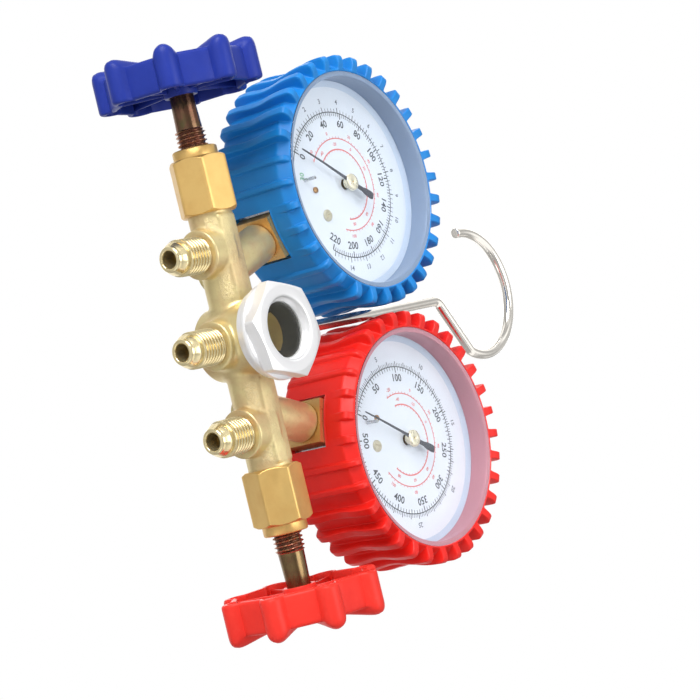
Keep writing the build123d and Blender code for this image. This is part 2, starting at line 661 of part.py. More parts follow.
def make_movement(name, face):
    """Clockwork-style movement: two plates, geared sector, pinion arbor, link, hairspring."""
    post_low = sector_pivot - 4.6
    post_x = plate_wide / 2 - 2.5
    post_places = ((-post_x, post_low), (post_x, post_low), (1.5 - post_x, 3.0), (post_x - 1.5, 3.0))
    with BuildPart() as front_plate:
        with BuildSketch(face.offset(-front_plate_depth)):
            with Locations((0, (plate_top - saddle_top) / 2)):
                RectangleRounded(plate_wide, plate_top + saddle_top, 1.5)
            Circle(arbor_radius + slide_fit, mode=Mode.SUBTRACT)
            with Locations((0, sector_pivot)):
                Circle(arbor_radius + slide_fit, mode=Mode.SUBTRACT)
        extrude(amount=-plate_thick)
        with BuildSketch(face.offset(-dial_depth - dial_thick)):
            with Locations((-screw_x, screw_y), (screw_x, screw_y)):
                Circle(1.7)
        extrude(amount=-(front_plate_depth - dial_depth - dial_thick))
        with BuildSketch(face.offset(-dial_depth)):
            with Locations((-screw_x, screw_y), (screw_x, screw_y)):
                Circle(0.9)
        extrude(amount=-3.6, mode=Mode.SUBTRACT)
    keep(f"movement_front_plate_{name}", front_plate.part)

    with BuildPart() as back_plate:
        with BuildSketch(face.offset(-back_plate_depth)):
            with Locations((0, (plate_top - saddle_top) / 2)):
                RectangleRounded(plate_wide, plate_top + saddle_top, 1.5)
            Circle(arbor_radius + slide_fit, mode=Mode.SUBTRACT)
            with Locations((0, sector_pivot)):
                Circle(arbor_radius + slide_fit, mode=Mode.SUBTRACT)
        extrude(amount=-plate_thick)
        with BuildSketch(face.offset(-back_plate_depth)):
            with Locations(*post_places):
                Circle(1.4)
        extrude(amount=back_plate_depth - front_plate_depth - plate_thick)
        spring_end = hairspring_start + hairspring_turns * hairspring_pitch + hairspring_wire / 2
        with BuildSketch(face.offset(-back_plate_depth)):
            with Locations((spring_end + 0.5, 0)):
                Circle(0.5)
        extrude(amount=back_plate_depth - hairspring_depth)
    keep(f"movement_back_plate_{name}", back_plate.part)

    with BuildPart() as sector:
        with BuildSketch(face.offset(-sector_depth)):
            with BuildLine():
                start, stop = sector_arc
                pivot = (0, sector_pivot)
                arc = CenterArc(pivot, sector_radius, start, stop - start)
                Polyline(arc @ 1, pivot, arc @ 0)
            make_face()
            with Locations(Location((tail[0] / 2, (tail[1] + sector_pivot) / 2), tail_turn)):
                Rectangle(tail_length, 2.6)
            with Locations(pivot):
                Circle(2.4)
            with Locations(tail):
                Circle(1.3)
        extrude(amount=-plate_thick)
        with BuildSketch(face.offset(-front_plate_depth)):
            with Locations(pivot):
                Circle(arbor_radius)
        extrude(amount=-(back_plate_depth + plate_thick - front_plate_depth))
        with BuildSketch(face.offset(-sector_depth)):
            with Locations(tail):
                Circle(pin_radius)
        extrude(amount=-(link_depth + link_thick + 0.2 - sector_depth))
    keep(f"sector_{name}", sector.part)

    heading = degrees(atan2(tail[1] - link_pin[1], tail[0] - link_pin[0]))
    with BuildPart() as link:
        with BuildSketch(face.offset(-link_depth)):
            with Locations(Location(link_pin, heading)):
                with Locations((link_length / 2, 0)):
                    Rectangle(link_length, 1.4)
                Circle(1.25)
                with Locations((link_length, 0)):
                    SlotCenterToCenter(2 * link_play, 2.9)
                    SlotCenterToCenter(2 * link_play, 2 * (pin_radius + link_side_play),
                                       mode=Mode.SUBTRACT)
                Circle(pin_radius + slide_fit, mode=Mode.SUBTRACT)
        extrude(amount=-link_thick)
    keep(f"link_{name}", link.part)

    with BuildPart() as arbor:
        with BuildSketch(face.offset(-pointer_depth + 0.4)):
            Circle(arbor_radius)
        extrude(amount=-(back_plate_depth + plate_thick - pointer_depth + 0.4))
        with BuildSketch(face.offset(-sector_depth + 0.4)):
            Circle(pinion_radius)
        extrude(amount=-(plate_thick + 0.8))
        with BuildSketch(face.offset(-hairspring_depth + 0.2)):
            Circle(1.35)
        extrude(amount=-1.2)
    keep(f"arbor_{name}", arbor.part)

    with BuildPart() as spring:
        with BuildSketch(face.offset(-hairspring_depth)):
            with BuildLine():
                radius = hairspring_start
                for k in range(hairspring_turns):
                    grown = radius + hairspring_pitch
                    flip = 1 if k % 2 == 0 else -1
                    CenterArc((flip * (radius - grown) / 2, 0), (radius + grown) / 2,
                              0 if flip > 0 else 180, 180)
                    radius = grown
            trace(line_width=hairspring_wire)
        extrude(amount=-0.8)
    keep(f"hairspring_{name}", spring.part)


def make_dial(name, face):
    """Printed dial disc with its two screws, the stop pin and the pointer at zero."""
    with BuildPart() as dial:
        with BuildSketch(face.offset(-dial_depth)):
            Circle(dial_radius)
            Circle(1.75, mode=Mode.SUBTRACT)
            with Locations((-screw_x, screw_y), (screw_x, screw_y)):
                Circle(0.95, mode=Mode.SUBTRACT)
            with Locations(polar(19, stop_turn[name])):
                Circle(0.55, mode=Mode.SUBTRACT)
        extrude(amount=-dial_thick)
    keep(f"dial_{name}", dial.part)

    with BuildPart() as screws:
        with BuildSketch(face.offset(-dial_depth)):
            with Locations((-screw_x, screw_y), (screw_x, screw_y)):
                Circle(1.8)
        extrude(amount=0.7)
        with BuildSketch(face.offset(-dial_depth)):
            with Locations((-screw_x, screw_y), (screw_x, screw_y)):
                Circle(0.88)
        extrude(amount=-3.2)
    keep(f"dial_screws_{name}", screws.part)

    with BuildPart() as stop:
        with BuildSketch(face.offset(-dial_depth - dial_thick)):
            with Locations(polar(19, stop_turn[name])):
                Circle(0.55)
        extrude(amount=dial_depth + dial_thick - pointer_depth + 0.6)
    keep(f"stop_pin_{name}", stop.part)

    along_pointer = 90 - zero_turn[name]
    with BuildPart() as pointer:
        with BuildSketch(face.offset(-pointer_depth)):
            with Locations(Location((0, 0), along_pointer)):
                with Locations((pointer_reach / 2 + 0.8, 0)):
                    Trapezoid(1.5, pointer_reach - 1.6, 90 - 1.1, rotation=-90)
                with Locations((-pointer_tail / 2 - 0.5, 0)):
                    Rectangle(pointer_tail - 1, 2.4)
            Circle(2.2)
        extrude(amount=-0.4)
        with BuildSketch(face.offset(-pointer_depth)):
            Circle(hub_cap_radius)
        extrude(amount=0.8)
        with BuildSketch(face.offset(-pointer_depth)):
            Circle(1.5)
        extrude(amount=-2.4)
        with BuildSketch(face.offset(-pointer_depth + 0.4)):
            Circle(arbor_radius + 0.01)
        extrude(amount=-3, mode=Mode.SUBTRACT)
    keep(f"pointer_{name}", pointer.part)


make_manifold()
make_sight_glass()
make_hook()
for side_name, side_sign in sides.items():
    make_valve(side_name, side_sign)
    make_gauge(side_name, side_sign)

os.makedirs("parts", exist_ok=True)
for node_name, node_part in nodes.items():
    export_step(node_part, f"parts/{node_name}.step")
print(len(nodes), "nodes written")
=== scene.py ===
# %% [markdown]
# # A refrigerant manifold gauge, dressed around its CAD frame
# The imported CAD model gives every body, joint and size. This lesson builds the surfaces that
# people see round it: forged brass, threads, ribbed rubber boots, printed dials and lobed wheels.
# Everything is worked out in millimetres and turned into metres when a mesh is made.

# %% Load the frame
import math
import bmesh
import bpy
import numpy as np
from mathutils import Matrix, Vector


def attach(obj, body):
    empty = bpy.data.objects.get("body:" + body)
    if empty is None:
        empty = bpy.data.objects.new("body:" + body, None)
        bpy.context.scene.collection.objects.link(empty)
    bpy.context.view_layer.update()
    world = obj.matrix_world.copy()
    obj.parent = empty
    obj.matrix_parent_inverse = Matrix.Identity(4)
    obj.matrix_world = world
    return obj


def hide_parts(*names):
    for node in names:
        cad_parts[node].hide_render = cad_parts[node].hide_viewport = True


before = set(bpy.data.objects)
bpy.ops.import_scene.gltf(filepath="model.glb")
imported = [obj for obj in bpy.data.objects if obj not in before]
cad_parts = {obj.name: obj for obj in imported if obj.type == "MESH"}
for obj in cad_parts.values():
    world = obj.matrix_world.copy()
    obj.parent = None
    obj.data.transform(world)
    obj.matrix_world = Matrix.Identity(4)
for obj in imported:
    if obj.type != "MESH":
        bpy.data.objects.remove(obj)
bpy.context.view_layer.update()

MM = 0.001

# %% [markdown]
# ## Places
# The origin is the point inside the hook where the set hangs. Four local frames repeat through
# the model: along the run towards one valve, down a hose port, forwards out of the sight glass,
# and forwards out of a leaning gauge. Each is an origin and three right-handed unit vectors, so
# a helix made in any of them keeps its hand.

# %% Local frames
MANIFOLD = np.array([0.0, -5.0, -154.3])
SIDES = {"low": -1, "high": 1}
SPLAY = 19.5                     # degrees by which each gauge stem leans outwards
SPREAD, RISE = 41.8, 62.0        # dial centres, from the middle and above the run
LENS_Y, STEM_Y = -13.2, 4.0      # front of the gauges and middle of the stems, behind the run


def frame_of(origin, ex, ez):
    """Origin and unit axes; the second axis is the third crossed with the first."""
    ex, ez = np.array(ex, float), np.array(ez, float)
    return np.array(origin, float), np.array([ex, np.cross(ez, ex), ez])


HERE = frame_of((0, 0, 0), (1, 0, 0), (0, 0, 1))
BODY = frame_of(MANIFOLD, (1, 0, 0), (0, 0, 1))
FRONT = frame_of(MANIFOLD, (1, 0, 0), (0, -1, 0))


def run_frame(side):
    """Third axis outwards along the run on one side."""
    return frame_of(MANIFOLD, (0, 1, 0), (side, 0, 0))


def port_frame(x):
    """Third axis down a hose port."""
    return frame_of(MANIFOLD + [x, 0, 0], (1, 0, 0), (0, 0, -1))


def gauge_frame(side):
    """First axis to a gauge's right, second up its leaning stem, third forwards."""
    lean = math.radians(side * SPLAY)
    centre = MANIFOLD + [side * SPREAD, LENS_Y, RISE]
    return frame_of(centre, (math.cos(lean), 0, -math.sin(lean)), (0, -1, 0))


def put(points, where):
    """Local points times the three axes, plus the origin."""
    origin, axes = where
    return np.asarray(points, float) @ axes + origin


# %% [markdown]
# ## From a grid to a mesh
# Most pieces are a grid of points, rows along a profile and columns round an axis. Neighbouring
# rows and columns make quads. Points that fall together at a pole are welded, and a shell whose
# signed volume comes out negative is turned, so that faces always point outwards.

# %% Grid helpers
def quads(rows, cols, around=True, looped=False):
    """Quads between neighbouring rows and columns of points numbered row by row."""
    r = np.arange(rows if looped else rows - 1)[:, None]
    c = np.arange(cols if around else cols - 1)[None, :]
    below, right = (r + 1) % rows, (c + 1) % cols
    return np.stack([r * cols + c, r * cols + right, below * cols + right, below * cols + c],
                    axis=-1).reshape(-1, 4)


def ring_angles(count):
    """Even angles round a full turn."""
    return np.arange(count) * 2 * np.pi / count


def revolved(radius, height, a):
    """Points (r cos a, r sin a, h), for radii and heights that spread over the angles."""
    across = np.broadcast_arrays(radius * np.cos(a), radius * np.sin(a), height)
    return np.stack(across, -1).reshape(-1, 3)


def turned(profile, count=96, looped=False):
    """Rows of (radius, height) pairs turned round the third axis."""
    r, h = np.asarray(profile, float).T[..., None]
    return revolved(r, h, ring_angles(count)), quads(len(r), count, looped=looped)


def volume(points, faces):
    """Sum over both triangles of every quad of the box product of its corners, over six."""
    a, b, c, d = (points[faces[:, k]] for k in range(4))
    return float((np.einsum("ij,ij->i", a, np.cross(b, c))
                  + np.einsum("ij,ij->i", a, np.cross(c, d))).sum() / 6)


def joined(*shells, outwards=True):
    """Several (points, faces) shells as one, each turned by its volume unless they are flat."""
    points, faces, start = [], [], 0
    for p, f in shells:
        p, f = np.asarray(p, float).reshape(-1, 3), np.asarray(f)
        if outwards and volume(p, f) < 0:
            f = f[:, ::-1]
        points.append(p)
        faces.append(f + start)
        start += len(p)
    return np.concatenate(points), np.concatenate(faces)


# %% Mesh objects
WELD = 2e-6         # metres within which points are taken as one


def placed(name, mesh, body):
    """An object at the origin for a finished mesh, riding on a body."""
    piece = bpy.data.objects.new(name, mesh)
    bpy.context.scene.collection.objects.link(piece)
    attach(piece, body)
    return piece


def make(name, shell, where, body, look, stands_for=(), sharp=32, weld=True, shades=None):
    """Puts a shell of local millimetre points into a mesh object. Edges steeper than sharp
    degrees stay crisp, and shades go into an attribute that the finish reads."""
    points, faces = joined((put(shell[0], where), shell[1]))
    mesh = bpy.data.meshes.new(name)
    mesh.from_pydata((points * MM).tolist(), [], faces.tolist())
    if shades is not None:
        mesh.attributes.new("shade", "FLOAT", "POINT").data.foreach_set(
            "value", np.asarray(shades, np.float32).ravel())
    if weld:
        work = bmesh.new()
        work.from_mesh(mesh)
        bmesh.ops.remove_doubles(work, verts=work.verts, dist=WELD)
        work.to_mesh(mesh)
        work.free()
    mesh.polygons.foreach_set("use_smooth", [True] * len(mesh.polygons))
    if sharp:
        mesh.set_sharp_from_angle(angle=math.radians(sharp))
    mesh.materials.append(look)
    piece = placed(name, mesh, body)
    if stands_for:
        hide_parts(*stands_for)
    print(name, len(mesh.vertices), "points", len(mesh.polygons), "faces")


# %% [markdown]
# ## Shared effects
# Three node groups give every finish its life: mottling, a soft blend of three colours by noise;
# grain, a height for bump; and scuffs, bands in which the roughness changes. A group only puts
# out colours and values. The shader itself stays in each material, where its constants are set
# on its own sockets.

# %% Node helpers
COLOUR, NUMBER = "NodeSocketColor", "NodeSocketFloat"


def tint(code):
    """Linear colour of an sRGB hex code: the usual curve, c/12.92 or ((c+0.055)/1.055)^2.4."""
    c = np.array([int(code[i:i + 2], 16) for i in (1, 3, 5)]) / 255
    return tuple(np.where(c <= 0.04045, c / 12.92, ((c + 0.055) / 1.055) ** 2.4)) + (1.0,)


def feed(tree, socket, value):
    """Links a socket to another one, or sets it to a constant."""
    if hasattr(value, "links"):
        tree.links.new(value, socket)
    else:
        socket.default_value = value


def place(tree):
    """Object coordinates, so that a pattern stays on its piece."""
    return tree.nodes.new("ShaderNodeTexCoord").outputs["Object"]


def noise(tree, vector, scale, detail, rough):
    """A noise texture node on a vector."""
    node = tree.nodes.new("ShaderNodeTexNoise")
    for label, value in (("Vector", vector), ("Scale", scale), ("Detail", detail),
                         ("Roughness", rough)):
        feed(tree, node.inputs[label], value)
    return node.outputs["Fac"]


def ranged(tree, value, low, high, to_low=0.0, to_high=1.0):
    """Maps one range of a value onto another, clamped."""
    node = tree.nodes.new("ShaderNodeMapRange")
    for label, given in (("Value", value), ("From Min", low), ("From Max", high),
                         ("To Min", to_low), ("To Max", to_high)):
        feed(tree, node.inputs[label], given)
    return node.outputs["Result"]


def blended(tree, factor, a, b, colours=True):
    """a and b mixed by a factor, as colours or as numbers."""
    node = tree.nodes.new("ShaderNodeMix")
    node.data_type = "RGBA" if colours else "FLOAT"
    first = 6 if colours else 2
    for index, value in ((0, factor), (first, a), (first + 1, b)):
        feed(tree, node.inputs[index], value)
    return node.outputs[2 if colours else 0]


def math_node(tree, operation, *values):
    """A math node on sockets or constants."""
    node = tree.nodes.new("ShaderNodeMath")
    node.operation = operation
    for socket, value in zip(node.inputs, values):
        feed(tree, socket, value)
    return node.outputs[0]


def group_node(tree, group, **values):
    """A group placed in a tree, with its inputs set by name."""
    node = tree.nodes.new("ShaderNodeGroup")
    node.node_tree = group
    for label, value in values.items():
        node.inputs[label].default_value = value
    return node.outputs[0]


# %% Node groups
def new_group(name, inputs, output, kind):
    """An empty shader group: its inputs by name, and where its one output goes."""
    group = bpy.data.node_groups.new(name, "ShaderNodeTree")
    for label, start in inputs.items():
        socket = group.interface.new_socket(label, in_out="INPUT",
                                            socket_type=COLOUR if start is None else NUMBER)
        if start is not None:
            socket.default_value = start
    group.interface.new_socket(output, in_out="OUTPUT", socket_type=kind)
    given = group.nodes.new("NodeGroupInput").outputs
    return group, given, group.nodes.new("NodeGroupOutput").inputs[output]


def mottle_group():
    """Colour = blend of two colours by a coarse noise, then a third in small dark specks."""
    group, given, end = new_group("mottle", {
        "Main": None, "Patch": None, "Speck": None, "Scale": 100.0, "Patches": 0.5,
        "Specks": 0.3}, "Colour", COLOUR)
    where = place(group)
    coarse = noise(group, where, given["Scale"], 5.0, 0.6)
    fine = noise(group, where, math_node(group, "MULTIPLY", given["Scale"], 6.0), 3.0, 0.65)
    patch = ranged(group, coarse, 0.42, 0.68, 0.0, given["Patches"])
    speck = ranged(group, fine, 0.58, 0.74, 0.0, given["Specks"])
    colour = blended(group, patch, given["Main"], given["Patch"])
    feed(group, end, blended(group, speck, colour, given["Speck"]))
    return group


def grain_group():
    """Height = a fine noise and a coarser one, the coarser one's part given by the share."""
    group, given, end = new_group("grain", {"Fine": 2500.0, "Coarse": 500.0, "Share": 0.5},
                                  "Height", NUMBER)
    where = place(group)
    fine = noise(group, where, given["Fine"], 2.0, 0.5)
    coarse = noise(group, where, given["Coarse"], 3.0, 0.5)
    feed(group, end, blended(group, given["Share"], fine, coarse, colours=False))
    return group


def scuff_group():
    """Roughness = bands of a stretched noise, where the surface has been rubbed."""
    group, given, end = new_group("scuffs", {"Scale": 300.0, "Low": 0.3, "High": 0.5},
                                  "Roughness", NUMBER)
    stretched = group.nodes.new("ShaderNodeMapping")
    stretched.inputs["Scale"].default_value = (0.35, 1.6, 1.0)
    stretched.inputs["Rotation"].default_value = (0.4, 0.7, 0.2)
    feed(group, stretched.inputs["Vector"], place(group))
    bands = noise(group, stretched.outputs["Vector"], given["Scale"], 6.0, 0.7)
    feed(group, end, ranged(group, bands, 0.35, 0.7, given["Low"], given["High"]))
    return group


MOTTLE, GRAIN, SCUFFS = mottle_group(), grain_group(), scuff_group()

# %% One finish
GRAIN_DEPTH, PIT_DEPTH, PIT_SCALE = 0.0002, 2.4, 1100.0


def finish(name, main, patch, speck, metal=0.0, rough=(0.3, 0.45), scale=120.0, patches=0.5,
           specks=0.3, bump=0.1, fine=2500.0, coarse=600.0, share=0.5, pitted=None,
           painted_root_shade=None, shader=None):
    """A material: mottled colour, scuffed roughness and grain bump on one Principled shader.
    The piece's shade says where thread roots take a painted shade, a darker colour in place of
    their shadow, or where cast skin is pitted and pale."""
    material = bpy.data.materials.new(name)
    material.use_nodes = True
    tree = material.node_tree
    skin = tree.nodes["Principled BSDF"].inputs
    base = group_node(tree, MOTTLE, Main=tint(main), Patch=tint(patch), Speck=tint(speck),
                      Scale=scale, Patches=patches, Specks=specks)
    low, high = rough
    feed(tree, skin["Roughness"],
         group_node(tree, SCUFFS, Scale=scale * 2.5, Low=low, High=high))
    skin["Metallic"].default_value = metal
    if painted_root_shade or pitted:
        mask = tree.nodes.new("ShaderNodeAttribute")
        mask.attribute_name = "shade"
    if bump:
        height = group_node(tree, GRAIN, Fine=fine, Coarse=coarse, Share=share)
        if pitted:
            pits = noise(tree, place(tree), PIT_SCALE, 6.0, 0.75)
            pits = ranged(tree, pits, 0.35, 0.65, 0.0, mask.outputs["Fac"])
            height = math_node(tree, "MULTIPLY_ADD", pits, PIT_DEPTH, height)
            base = blended(tree, pits, base, tint(pitted))
        ripple = tree.nodes.new("ShaderNodeBump")
        ripple.inputs["Strength"].default_value = bump
        ripple.inputs["Distance"].default_value = GRAIN_DEPTH
        feed(tree, ripple.inputs["Height"], height)
        feed(tree, skin["Normal"], ripple.outputs["Normal"])
    # painted shade: thread roots take a darker colour by the shade attribute, in place of the
    # shadow in them
    if painted_root_shade:
        dark = ranged(tree, mask.outputs["Fac"], 0.35, 1.0, 0.0, 0.85)
        base = blended(tree, dark, base, tint(painted_root_shade))
    feed(tree, skin["Base Color"], base)
    for label, value in (shader or {}).items():
        skin[label].default_value = value
    return material


# %% [markdown]
# ## Finishes
# Each one is named for what it is on the real set. Brass as forged is pale, a little green, and
# stained in patches; turned brass is warmer, and the bonnets warmer still. Colours are written
# as they should look in plain light: the main one, one for patches and one for specks.

# %% Metals
SHANK_SKIN = dict(metal=0.92, rough=(0.14, 0.28), scale=260, patches=0.8, specks=0.35, bump=0.06)
RING_SKIN = dict(metal=0.2, rough=(0.4, 0.5), scale=60, patches=0.25, specks=0.0, bump=0.0)
forged_brass = finish(
    "forged_brass", "#e0cf98", "#cda67c", "#ab8f60", metal=0.6, rough=(0.3, 0.46), scale=110,
    patches=0.65, specks=0.25, bump=0.35, fine=1500, coarse=420, share=0.35, pitted="#d9c79a")
# the darker brown for the thread roots, #8f7134, is painted shade
port_brass = finish(
    "port_brass", "#ecdcae", "#dcc487", "#b89a5c", metal=0.85, rough=(0.16, 0.26), scale=160,
    patches=0.35, specks=0.12, bump=0.04, painted_root_shade="#8f7134")
bonnet_brass = finish(
    "bonnet_brass", "#e3bd74", "#d6a860", "#b5894a", metal=0.7, rough=(0.32, 0.46), scale=150,
    patches=0.5, specks=0.1, bump=0.04, coarse=900)
socket_brass = finish(
    "socket_brass", "#e6bd7e", "#cf9f62", "#a87a44", metal=0.75, rough=(0.26, 0.4), scale=160,
    patches=0.5, specks=0.25, bump=0.15)
bright_brass = finish("bright_brass", "#e3bf6f", "#d0a757", "#b48c46", metal=0.95,
                      rough=(0.15, 0.3), scale=400, bump=0.05)
# the dark brown for the thread roots, #4e241c, is painted shade
thread_steel = finish(
    "thread_steel", "#c08a74", "#948a5c", "#6a4034", metal=0.8, rough=(0.2, 0.34), scale=420,
    patches=0.7, specks=0.3, bump=0.04, painted_root_shade="#4e241c")
SHANK = {"low": finish("shank_copper", "#7c5846", "#5f5c3c", "#3c2822", **SHANK_SKIN),
         "high": finish("shank_yellow", "#7d6a48", "#6e4c3c", "#473626", **SHANK_SKIN)}
nut_white = finish("nut_white", "#f1f1f2", "#eaebee", "#e4e5e9", metal=0.4, rough=(0.3, 0.33),
                   scale=60, patches=0.2, specks=0.0, bump=0.0)
hook_nickel = finish(
    "hook_nickel", "#f6f2ea", "#e8e2d8", "#cfc7bb", metal=0.94, rough=(0.06, 0.16), scale=260,
    patches=0.4, specks=0.1, bump=0.02)
plated_steel = finish(
    "plated_steel", "#c9cacc", "#b5b6b9", "#9a9b9f", metal=0.95, rough=(0.2, 0.35), scale=300,
    patches=0.4, specks=0.15, bump=0.05)
RING = {"low": finish("ring_cool", "#8092ac", "#7487a3", "#93a4bb", **RING_SKIN),
        "high": finish("ring_warm", "#ba7f8a", "#ad727e", "#c9949d", **RING_SKIN)}

# %% [markdown]
# ## Rubber, plastic and print
# The boots are satin rubber with a fine grain, and the wheels a smoother plastic. Dial enamel is
# nearly white, and its print is a thin ink laid just above it.

# %% Rubber, plastic, enamel and ink
RUBBER = dict(rough=(0.36, 0.5), scale=60, patches=0.6, specks=0.15, bump=0.06, fine=3200,
              coarse=260, share=0.4, shader={"Specular IOR Level": 0.4})
PLASTIC = dict(rough=(0.36, 0.46), scale=80, specks=0.15, bump=0.03, fine=3000, coarse=200,
               shader={"Specular IOR Level": 0.22})
INK = dict(rough=(0.45, 0.6), scale=900, bump=0)
SCREW = dict(metal=0.7, rough=(0.3, 0.45), scale=500, bump=0.08)
BOOT = {"low": finish("boot_blue", "#1485d6", "#1177c4", "#2b93e2", **RUBBER),
        "high": finish("boot_red", "#f2231a", "#de1c14", "#fb4438", **RUBBER)}
WHEEL = {"low": finish("wheel_blue", "#233798", "#1e2f86", "#2e44a8", **PLASTIC),
         "high": finish("wheel_red", "#f0372c", "#e42a22", "#fb5346", **PLASTIC)}
seal_black = finish("seal_black", "#1c1c1c", "#141414", "#2a2a2a", rough=(0.4, 0.55), scale=300)
seat_white = finish("seat_white", "#ecece6", "#e2e2da", "#d6d6cc", rough=(0.35, 0.5), scale=300,
                    bump=0.05)
dial_enamel = finish("dial_enamel", "#dbe0e8", "#d3dae4", "#cad2de", rough=(0.3, 0.42),
                     scale=60, specks=0.1, bump=0.02)
border_enamel = finish("border_enamel", "#b9c6d8", "#b1bfd2", "#a8b8cc", rough=(0.3, 0.42),
                       scale=60, patches=0.4, specks=0.1, bump=0.0)
ink_black = finish("ink_black", "#43474e", "#4d5158", "#5a5e66", **INK)
ink_grey = finish("ink_grey", "#5f6670", "#6c737d", "#7a818b", **INK)
ink_red = finish("ink_red", "#dd736f", "#e28581", "#e79995", **INK)
ink_green = finish("ink_green", "#6fae86", "#86bd99", "#9acaab", **INK)
needle_lacquer = finish("needle_lacquer", "#4a4c54", "#5a5c64", "#6a6c74", metal=0.3,
                        rough=(0.3, 0.42), scale=300, bump=0.03)
cap_brass = finish("cap_brass", "#ebe3ca", "#dbd2b4", "#b9af8e", metal=0.6, rough=(0.24, 0.36),
                   scale=400, bump=0.05)
screw_brown = finish("screw_brown", "#a98258", "#8f6a44", "#6f5236", **SCREW)
screw_pale = finish("screw_pale", "#d6cfb8", "#c2b99c", "#a89e80", **SCREW)


# %% Glass
def clear(name, colour, rough):
    """Clear glass that lets lamp light through, so that what lies behind it is lit."""
    material = finish(name, colour, colour, colour, rough=rough, scale=40, patches=0.1,
                      specks=0.0, bump=0, shader={"Transmission Weight": 1.0, "IOR": 1.3})
    tree = material.node_tree
    mix = tree.nodes.new("ShaderNodeMixShader")
    sources = (tree.nodes.new("ShaderNodeLightPath").outputs["Is Shadow Ray"],
               tree.nodes["Principled BSDF"].outputs[0],
               tree.nodes.new("ShaderNodeBsdfTransparent").outputs[0])
    for socket, source in zip(mix.inputs, sources):
        tree.links.new(source, socket)
    tree.links.new(mix.outputs[0], tree.nodes["Material Output"].inputs["Surface"])
    return material


lens_clear = clear("lens_clear", "#f6f9fb", (0.01, 0.03))
sight_clear = clear("sight_clear", "#e9ecdf", (0.03, 0.07))
print(len(bpy.data.materials), "materials")

# %% [markdown]
# ## Forged brass body
# The body is one forging: a run, a sight-glass chamber, three port collars and two stem bosses,
# all melting into each other. A loft can't give such joins and a boolean leaves hard ones. An
# implicit surface can: every form is a distance, a smooth minimum melts the distances together,
# and a net of quads is laid where the total is zero.

# %% Distances and smooth joins
def melt(a, b, k):
    """Smooth minimum: the lower value, rounded off by k where the two are close."""
    h = np.clip(0.5 + 0.5 * (b - a) / k, 0, 1)
    return b * (1 - h) + a * h - k * h * (1 - h)


def cut(a, b, k):
    """a with b taken away, its edge rounded by k."""
    return -melt(-a, b, k)


def rod(P, centre, axis, radius, low, high, edge):
    """Distance to a capped cylinder: outside distances in radius and height, rounded by edge."""
    q = [P[i] - centre[i] for i in range(3)]
    t = sum(q[i] * axis[i] for i in range(3))
    across = np.sqrt(sum((q[i] - t * axis[i]) ** 2 for i in range(3)))
    dx = across - (radius - edge)
    dy = np.abs(t - (low + high) / 2) - ((high - low) / 2 - edge)
    return np.minimum(np.maximum(dx, dy), 0) + np.hypot(np.maximum(dx, 0), np.maximum(dy, 0)) - edge


def slab(P, centre, half, edge):
    """Distance to a box with rounded edges."""
    d = [np.abs(P[i] - centre[i]) - (half[i] - edge) for i in range(3)]
    outside = np.sqrt(sum(np.maximum(v, 0) ** 2 for v in d))
    return outside + np.minimum(np.maximum(np.maximum(d[0], d[1]), d[2]), 0) - edge


# each port: its place along the run, then the depths of its tip and of its collar
PORTS = {"low": (-27.0, 22.7, 9.6), "centre": (0.0, 26.7, 13.0), "high": (27.0, 22.7, 9.6)}


def forging(P):
    """Distance to the whole brass body, manifold-centred millimetres."""
    f = rod(P, (0, 0, 0), (1, 0, 0), 6.7, -39.6, 39.6, 0.25)
    for side in SIDES.values():
        f = melt(f, slab(P, (side * 24.5, -3.3, 0), (12.9, 3.25, 3.5), 0.7), 0.9)
        lean = math.radians(side * SPLAY)
        stem = (math.sin(lean), 0, math.cos(lean))
        foot = (side * (SPREAD - RISE * math.tan(math.radians(SPLAY))), STEM_Y, 0)
        reach = RISE / math.cos(math.radians(SPLAY)) - 39.9
        f = melt(f, rod(P, foot, stem, 6.2, 0, reach, 0.35), 1.8)
    f = melt(f, rod(P, (0, 0, 0), (0, 1, 0), 11.2, -10.4, 8.6, 0.7), 1.6)
    for x, _, collar in PORTS.values():
        f = melt(f, rod(P, (x, 0, 0), (0, 0, -1), 7.4, 0, collar, 0.5), 1.3)
    f = melt(f, rod(P, (0, 0, 0), (0, -1, 0), 10.2, 0, 13.0, 0.2), 0.2)
    return cut(f, rod(P, (0, 0, 0), (0, -1, 0), 8.3, 6.0, 20, 0.2), 0.3)


def crossings(f, axis):
    """Where a field changes sign along grid edges of one axis, and how far along."""
    near = [slice(None)] * 3
    far = [slice(None)] * 3
    near[axis], far[axis] = slice(0, -1), slice(1, None)
    a, b = f[tuple(near)], f[tuple(far)]
    hit = (a < 0) != (b < 0)
    return a, hit, np.where(hit, a / np.where(hit, a - b, 1), 0)


